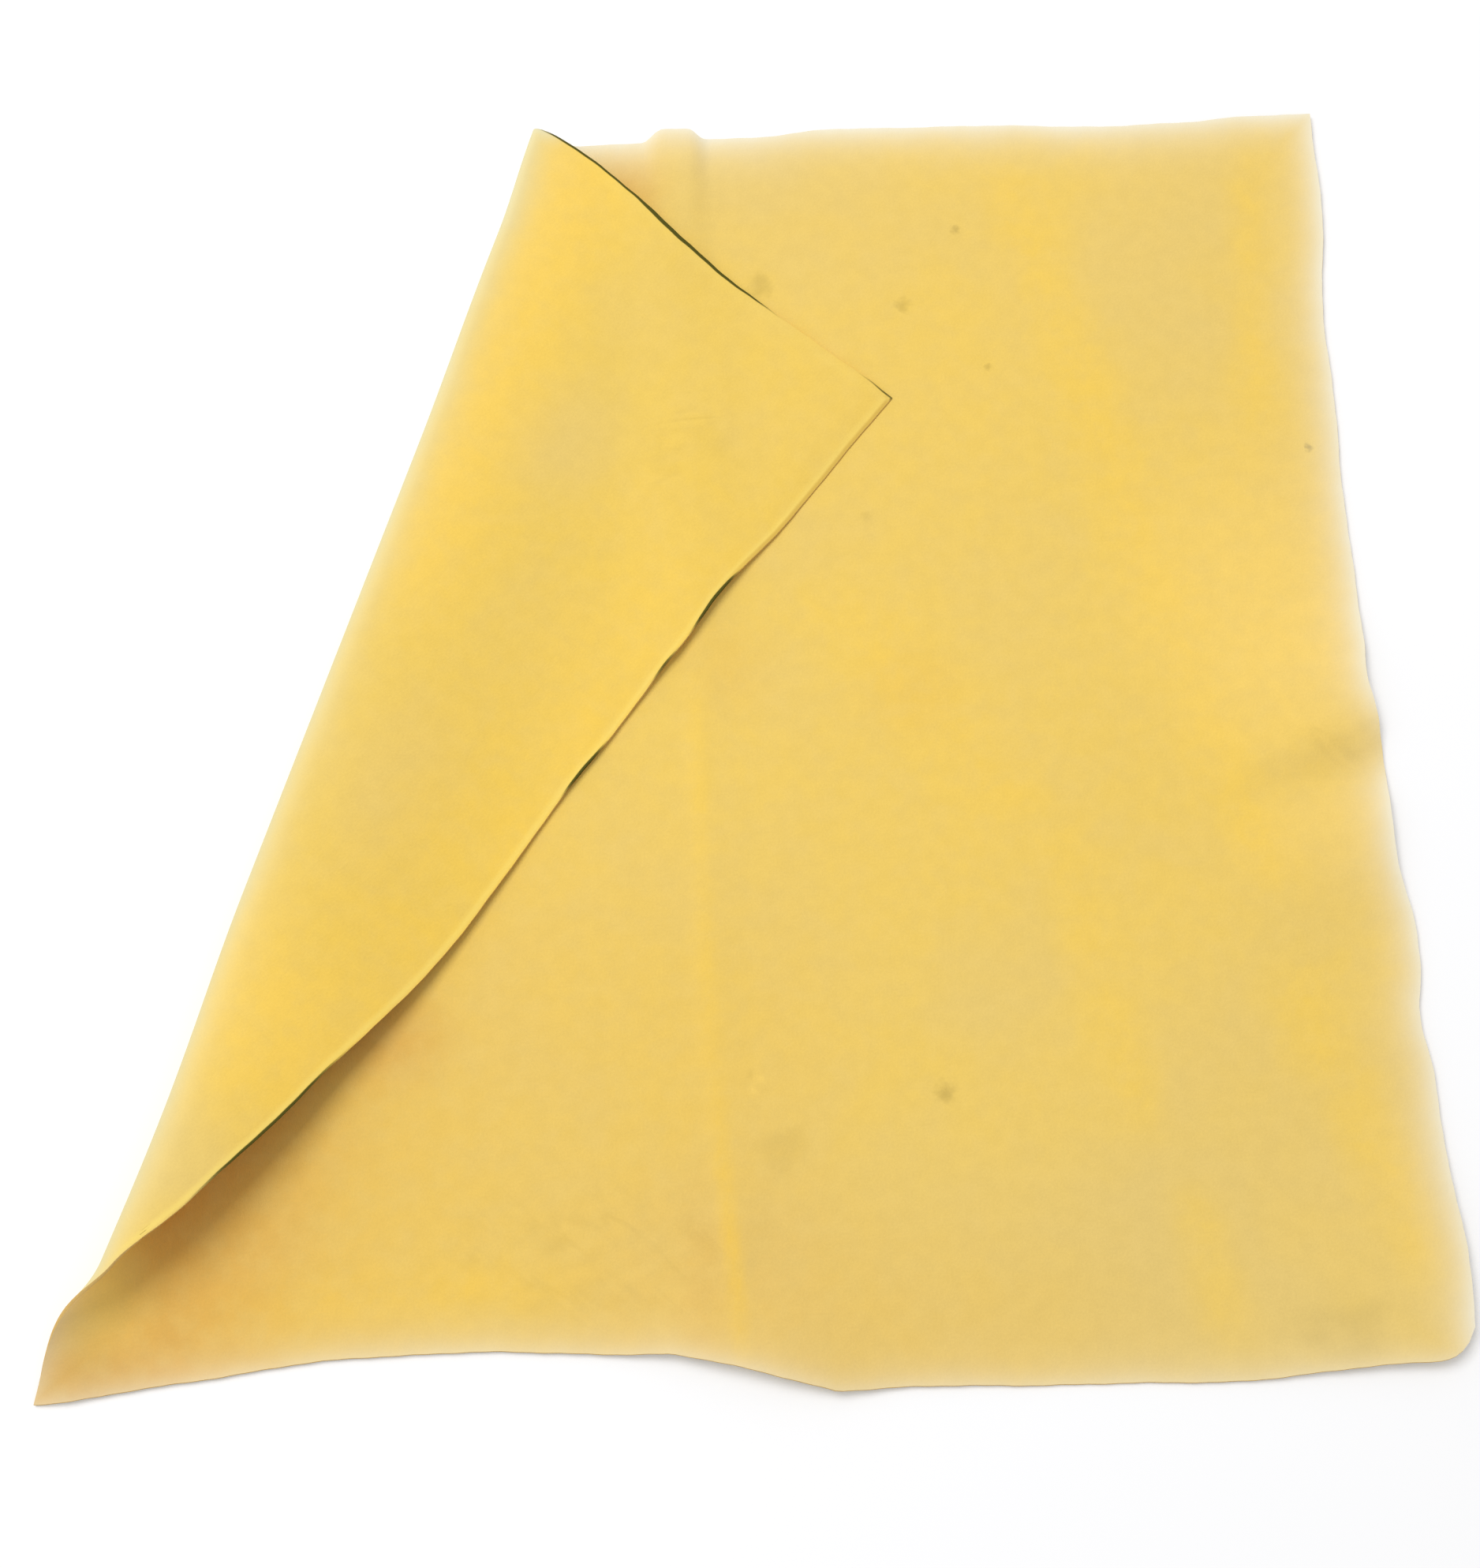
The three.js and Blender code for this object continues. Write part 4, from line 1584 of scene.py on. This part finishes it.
    def shell(self, name: str, u: Array, v: Array, seam_row: int | None, seam_column: int,
              finishes: tuple[Material, ...]) -> Object:
        """A closed piece of leather over a grid of the flat sheet.

        The two faces lie half a thickness to each side of the folded grid. Round its border runs a cut edge
        of two strips, whose middle stands out a little, except along the seams.

        Args:
            name: the piece's name.
            u: the grid's places to the right.
            v: the grid's places to the back.
            seam_row: the row that meets another piece, if one does.
            seam_column: the column that meets another piece.
            finishes: the materials, in the order of Slot.

        Returns:
            The new object.
        """
        middle = self.sheet.place(u, v)
        thickness = self.sheet.thickness * (1.0 - self.sheet.pressed * self.sheet.pressing(u, v))
        half = self.sheet.facing(u, v) * thickness[..., None] / 2.0
        faces, slots, ring = self.quads(*u.shape)
        rim = (middle + self.cut_bulge * self.outward(middle, seam_row, seam_column)).reshape(-1, 3)[ring]
        points = np.concatenate([(middle + half).reshape(-1, 3), (middle - half).reshape(-1, 3), rim])
        mesh = bpy.data.meshes.new(name)
        self.fill(mesh, self.sheet.in_frame(points), faces, slots)
        self.crisp_rim(mesh, np.concatenate([ring, ring + u.size]))
        flat_u, flat_v = (np.concatenate([flat.ravel(), flat.ravel(), flat.ravel()[ring]]) for flat in (u, v))
        layers = (Face.INSIDE.value, Face.OUTSIDE.value, (Face.INSIDE.value + Face.OUTSIDE.value) / 2.0)
        self.describe(mesh, flat_u, flat_v, np.repeat(layers, [u.size, u.size, len(ring)]))
        mesh.update()
        mesh.validate()
        for finish in finishes:
            mesh.materials.append(finish)
        made = bpy.data.objects.new(name, mesh)
        bpy.context.scene.collection.objects.link(made)
        return made

    def fill(self, mesh: bpy.types.Mesh, points: Array, quads: Array, slots: Array) -> None:
        """Puts points and smooth four-sided faces into an empty mesh.

        Args:
            mesh: the mesh.
            points: the points' places.
            quads: each face's points.
            slots: each face's slot.
        """
        mesh.vertices.add(len(points))
        mesh.vertices.foreach_set("co", points.astype(np.float32).ravel())
        mesh.loops.add(quads.size)
        mesh.loops.foreach_set("vertex_index", quads.astype(np.int32).ravel())
        mesh.polygons.add(len(quads))
        mesh.polygons.foreach_set("loop_start", np.arange(0, quads.size, 4, dtype=np.int32))
        mesh.update(calc_edges=True)
        mesh.polygons.foreach_set("material_index", slots.astype(np.int32))
        mesh.polygons.foreach_set("use_smooth", np.ones(len(quads), bool))

    def crisp_rim(self, mesh: bpy.types.Mesh, border: Array) -> None:
        """Marks the edges between the faces and the cut edge as sharp, so that each keeps its own shading.

        Args:
            mesh: the filled mesh.
            border: the points round both faces.
        """
        ends = np.empty(len(mesh.edges) * 2, np.int32)
        mesh.edges.foreach_get("vertices", ends)
        on_border = np.zeros(len(mesh.vertices), bool)
        on_border[border] = True
        sharp = on_border[ends.reshape(-1, 2)].all(axis=1)
        mesh.attributes.new("sharp_edge", "BOOLEAN", "EDGE").data.foreach_set("value", sharp)

    def describe(self, mesh: bpy.types.Mesh, u: Array, v: Array, layer: Array) -> None:
        """Writes what the finishes read: each point's flat place, in metres, and the tones there.

        Args:
            mesh: the mesh whose points are described.
            u: each point's place to the right.
            v: each point's place to the back.
            layer: 0 on the face inside the fold and 1 on the face outside it.
        """
        cut, tones = self.sheet.cut, self.tones
        from_cuts = self.from_cuts(u, v)
        along, across = self.sheet.line(u, v)
        numbers = {
            # brush strokes, with painted highlight along the packing ridge
            "streak": mix(tones.brushed_and_ridge_highlight(u, v, cut), tones.brushed_flap(u, v, cut), layer),
            # nap flattened by rubbing, and painted shade
            "rubbed_and_painted_shade": tones.rubbed_and_painted_shade(u, v, layer),
            # painted light
            "painted_light_share": tones.painted_light_share(u, v, across, layer),
            # partly painted shade, in the mouth of the fold
            "tan": tones.tan(u, v, across) * (1.0 - layer),
            "wear": tones.wear(v, across, self.sheet.from_crest(along, across), from_cuts, layer),
            # painted highlight
            "rim": tones.painted_rim_highlight(across, from_cuts.min(axis=0), layer),
            "wrinkle": patched(self.sheet.relief.wrinkled, u, v),
            # painted shadow, with some stains, beside the flap's cut edges
            "edge_stain_and_shadow": tones.stain_and_shadow(u, v, cut),
            "skived": tones.skived(u, v, cut) * layer,
            "from_cut": from_cuts.min(axis=0),
        }
        for name, values in numbers.items():
            made = mesh.attributes.new(name, "FLOAT", "POINT")
            made.data.foreach_set("value", values.astype(np.float32))
        places = np.stack([u * MM, v * MM, layer], axis=-1)
        made = mesh.attributes.new("flat", "FLOAT_VECTOR", "POINT")
        made.data.foreach_set("vector", places.astype(np.float32).ravel())

    def flat_area(self, u: Array, v: Array) -> float:
        """The flat area of a grid.

        Args:
            u: the grid's places to the right.
            v: the grid's places to the back.

        Returns:
            The sum of half the cross product of each cell's diagonals, in square metres.
        """
        first = (u[1:, 1:] - u[:-1, :-1], v[1:, 1:] - v[:-1, :-1])
        second = (u[1:, :-1] - u[:-1, 1:], v[1:, :-1] - v[:-1, 1:])
        return float(np.abs(first[0] * second[1] - first[1] * second[0]).sum() / 2.0) * MM * MM

    def flat_box(self, u: Array, v: Array) -> tuple[float, float]:
        """The width and depth of a grid on the flat sheet, in metres."""
        return float(np.ptp(u)) * MM, float(np.ptp(v)) * MM

    def lying_piece(self, finishes: tuple[Material, ...]) -> Object:
        """Makes the part of the leather that lies on the table, from the seam to the right edge.

        Args:
            finishes: the materials, in the order of Slot.

        Returns:
            The new piece.
        """
        u, v = self.grid(self.lying_columns_at)
        piece = self.shell("lying_leather", u, v, None, 0, finishes)
        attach(piece, "sheet")
        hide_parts("main_panel")
        self.flat_box(u, v)
        self.flat_area(u, v)
        return piece

    def parting(self, joint: dict[str, Any], climb: float, from_y: float) -> tuple[Vector, Vector]:
        """The slab at the hinge line in which the leather passes from the sheet to the flap.

        Args:
            joint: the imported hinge, with its place and its axis.
            climb: how steeply the slab leaves the hinge line to the front.
            from_y: where on the hinge line it does so, in metres.

        Returns:
            A point on the slab's lower face and the one square above it on the upper face.
        """
        _, rightward, backward = self.sheet.fold.directions(self.sheet.cut)
        axis, hinge = Vector(joint["axis"]), Vector(joint["pos_m"])
        level = axis.cross(Vector((backward, -rightward, -self.blend_slope))).normalized()
        upward = level * math.copysign(1.0, level.z) + Vector((0.0, climb, 0.0))
        middle = hinge + axis * ((from_y - hinge.y) / axis.y)
        reach = upward * (self.blend_half * MM / upward.length_squared)
        return middle - reach, middle + reach

    def turned_pieces(self, finishes: tuple[Material, ...], joint: dict[str, Any]) -> tuple[Object, Object]:
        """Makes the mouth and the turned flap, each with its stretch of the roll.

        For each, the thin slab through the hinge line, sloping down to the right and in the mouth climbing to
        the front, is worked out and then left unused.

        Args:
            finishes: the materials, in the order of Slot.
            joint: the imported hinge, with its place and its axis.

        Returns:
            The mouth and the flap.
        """
        u, v = self.grid(self.turned_columns_at)
        shared = self.mouth_rows
        border = self.sheet.in_frame(self.sheet.place(u[shared:shared + 1], v[shared:shared + 1]))
        border_y = float(border[..., 1].mean())
        mouth_u, mouth_v, flap_u, flap_v = u[:shared + 1], v[:shared + 1], u[shared:], v[shared:]
        mouth = self.shell("mouth_leather", mouth_u, mouth_v, -1, -1, finishes)
        flap = self.shell("turned_leather", flap_u, flap_v, 0, -1, finishes)
        made = ((mouth, self.mouth_climb, (mouth_u, mouth_v)), (flap, 0.0, (flap_u, flap_v)))
        for piece, climb, flat in made:
            lower, upper = self.parting(joint, climb, border_y)
            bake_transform(piece)
            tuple(lower)
            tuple(upper)
            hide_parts("turned_flap")
            self.flat_box(*flat)
            self.flat_area(*flat)
        return mouth, flap


@dataclass(frozen=True)
class Studio:
    """The pale table, a large soft lamp at the back left, and the even light of a white room.

    Attributes:
        room_light: the level of the light that comes from all round.
        key_light: the level that the lamp adds on the table.
        key_from: the direction of the lamp, to the right, to the back and up.
        key_distance: from the middle of the table, in metres.
        key_size: the side of the lamp, in metres.
        table_half_width: in metres, with table_drop, how far the table lies below the leather.
        table_glow: what the camera sees added to the table near the leather, rising to far_glow over
            glow_reach.
    """

    room_light: float = 0.55
    key_light: float = 0.5
    key_from: tuple[float, float, float] = (-0.41, 0.36, 1.0)
    key_distance: float = 2.2
    key_size: float = 1.2
    table_half_width: float = 6.0
    table_drop: float = 0.0002
    table_colour: Colour = (246, 246, 247)
    table_glow: float = 0.12
    far_glow: float = 0.6
    glow_reach: Span = (0.5, 2.4)

    def room(self) -> None:
        """Lights the room evenly, and shows it white to the camera."""
        world = bpy.data.worlds.new("white_room")
        bpy.context.scene.world = world
        world.use_nodes = True
        tree = world.node_tree
        tree.nodes.clear()
        seen, light, both = (tree.nodes.new(kind) for kind in (
            "ShaderNodeBackground", "ShaderNodeBackground", "ShaderNodeMixShader"))
        rays, output = tree.nodes.new("ShaderNodeLightPath"), tree.nodes.new("ShaderNodeOutputWorld")
        seen.inputs["Color"].default_value = WHITE
        light.inputs["Color"].default_value = WHITE
        light.inputs["Strength"].default_value = self.room_light
        tree.links.new(rays.outputs["Is Camera Ray"], both.inputs[0])
        tree.links.new(light.outputs[0], both.inputs[1])
        tree.links.new(seen.outputs[0], both.inputs[2])
        tree.links.new(both.outputs[0], output.inputs["Surface"])

    def lamp(self) -> Object:
        """Hangs the lamp, with the power that gives its level on a flat table.

        Returns:
            The lamp, square to the middle of the table.
        """
        towards = Vector(self.key_from).normalized()
        lamp = bpy.data.lights.new("soft_lamp", "AREA")
        lamp.shape = "SQUARE"
        lamp.size = self.key_size
        lamp.energy = self.key_light * math.pi ** 2 * self.key_distance ** 2 / towards.z
        made = bpy.data.objects.new("soft_lamp", lamp)
        made.matrix_world = (Matrix.Translation(towards * self.key_distance)
                             @ towards.to_track_quat("Z", "Y").to_matrix().to_4x4())
        bpy.context.scene.collection.objects.link(made)
        return made

    def table(self) -> Object:
        """Lays the table: a plain pale plane, a hair below the leather, that keeps its shadows.

        Returns:
            The table's object.
        """
        side = self.table_half_width
        corners = np.array([[-1, -1], [1, -1], [1, 1], [-1, 1]], float) * side
        points = np.column_stack([corners, np.full(4, -self.table_drop)])
        mesh = bpy.data.meshes.new("table")
        mesh.from_pydata(points.tolist(), [], [(0, 1, 2, 3)])
        graph = Graph("pale_table")
        matt = graph.add("ShaderNodeBsdfDiffuse")
        matt.inputs["Color"].default_value = linear(self.table_colour)
        glow = graph.add("ShaderNodeEmission")
        rays = graph.add("ShaderNodeLightPath")
        away = graph.add("ShaderNodeVectorMath", operation="LENGTH")
        graph.feed(away.inputs[0], graph.add("ShaderNodeTexCoord").outputs["Object"])
        level = graph.span(away.outputs["Value"], self.glow_reach, (self.table_glow, self.far_glow))
        graph.feed(glow.inputs["Strength"], graph.times(rays.outputs["Is Camera Ray"], level))
        both = graph.add("ShaderNodeAddShader")
        graph.feed(both.inputs[0], matt.outputs[0])
        graph.feed(both.inputs[1], glow.outputs[0])
        mesh.materials.append(graph.surface(both.outputs[0]))
        made = bpy.data.objects.new("table", mesh)
        bpy.context.scene.collection.objects.link(made)
        return made


@dataclass(frozen=True)
class Viewpoint:
    """The camera: its direction in degrees, what it looks at on the flat sheet, and its focal length.

    Attributes:
        elevation: how far above the table's level it stands.
        azimuth: how far to the right of the front it stands.
        roll: how far it is tipped.
        look_at: the flat place in the middle of the picture.
        distance: from that place.
        focal_pixels: the focal length, in the pixels of image_height.
        sensor: the longer side of the sensor.
        clip: the nearest and the furthest that it sees, in metres.
    """

    elevation: float = 74.72
    azimuth: float = -3.5
    roll: float = 1.1
    look_at: Span = (207.37, 176.88)
    distance: float = 624.81
    focal_pixels: float = 2600.0
    image_height: float = 1987.0
    sensor: float = 36.0
    clip: Span = (0.01, 50.0)

    def camera(self, sheet: FoldedSheet) -> Object:
        """Makes the scene's camera.

        Args:
            sheet: gives the part's frame.

        Returns:
            The camera's object.
        """
        up_angle, round_angle, tilt = (math.radians(a) for a in (self.elevation, self.azimuth, self.roll))
        back = Vector((math.sin(round_angle) * math.cos(up_angle),
                       -math.cos(round_angle) * math.cos(up_angle),
                       math.sin(up_angle)))
        level = Vector((math.cos(round_angle), math.sin(round_angle), 0.0))
        upright = back.cross(level)
        right = level * math.cos(tilt) + upright * math.sin(tilt)
        up = upright * math.cos(tilt) - level * math.sin(tilt)
        target = Vector(sheet.in_frame(np.array([*self.look_at, 0.0])))
        data = bpy.data.cameras.new("camera")
        data.sensor_width = self.sensor
        data.lens = self.sensor * self.focal_pixels / self.image_height
        data.clip_start, data.clip_end = self.clip
        made = bpy.data.objects.new("camera", data)
        turned = Matrix((right, up, back)).transposed().to_4x4()
        made.matrix_world = Matrix.Translation(target + back * self.distance * MM) @ turned
        bpy.context.scene.collection.objects.link(made)
        bpy.context.scene.camera = made
        return made


NAP_FACE = SuedeFinish(
    name="chamois_nap",
    base=(243, 207, 104),
    # pale: flattened nap, and the colour of painted shade in duller places
    pale=(235, 204, 121),
    deep=(249, 209, 92),
    # the colour of painted light
    painted_light=(254, 216, 114),
    # browner colour, partly painted shade in the mouth of the fold
    tan=(228, 180, 90),
    worn=(249, 241, 216),
    rim=(249, 241, 216),
    # line: painted shadow beside a cut edge
    line=(176, 140, 70),
    line_width=0.3,
    spots=(
        Spot(286.0, 362.0, 1.2, 0.22),
        Spot(267.0, 335.0, 1.9, 0.2),
        Spot(393.0, 280.0, 0.9, 0.4),
        Spot(263.0, 81.0, 2.1, 0.24),
        Spot(293.0, 312.0, 0.9, 0.2),
        Spot(221.0, 344.0, 3.0, 0.16),
        # painted shade on the packing ridge's right flank
        Spot(215.0, 66.0, 5.0, 0.08),
        # two soft dark patches near the front-right corner
        Spot(361.0, 9.0, 6.0, 0.05),
        Spot(374.0, 8.0, 7.0, 0.1),
        Spot(251.0, 262.0, 1.4, 0.07),
        # painted shade inside the mouth's tip
        Spot(16.0, 14.0, 17.0, 0.07),
        # a small crease: painted highlight, with a little painted shade beside it
        Spot(207.1, 83.5, 1.2, -0.07),
        Spot(209.1, 86.9, 1.2, -0.07),
        Spot(206.6, 88.6, 1.1, 0.06),
    ),
)
FLESH_FACE = SuedeFinish(
    name="chamois_flesh",
    base=(242, 206, 98),
    pale=(237, 205, 117),
    deep=(250, 209, 90),
    # the colour of painted light
    painted_light=(252, 211, 94),
    tan=(206, 166, 72),
    worn=(233, 225, 182),
    # rim: painted highlight along the flap's cut edges
    rim=(255, 228, 122),
    # line: a dark band of painted shadow inside the flap's cut edges
    line=(84, 80, 26),
    line_width=1.1,
)
# the cut face's dark line is painted shadow, with some stains
RAW_EDGE = CutFinish(name="chamois_cut_edge", base=(244, 208, 132), fibre=(214, 172, 98), stain_and_shadow=(80, 76, 26))


def main() -> None:
    """Builds the leather on its table."""
    logging.basicConfig(level=logging.INFO, format="%(name)s: %(message)s")
    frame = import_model()
    leather = Leather()
    studio = Studio()
    studio.room()
    studio.lamp()
    log.info("stage: %s", studio.table().name)
    Viewpoint().camera(leather.sheet)
    finishes = (NAP_FACE.build(), FLESH_FACE.build(), RAW_EDGE.build())
    hinge = next(joint for joint in frame["joints"] if joint["name"] == "flap_fold")
    for piece in (leather.lying_piece(finishes), *leather.turned_pieces(finishes, hinge)):
        log.info("piece: %s, %d faces", piece.name, len(piece.data.polygons))
    scene = bpy.context.scene
    scene.view_settings.view_transform = "Standard"


if __name__ == "__main__":
    main()
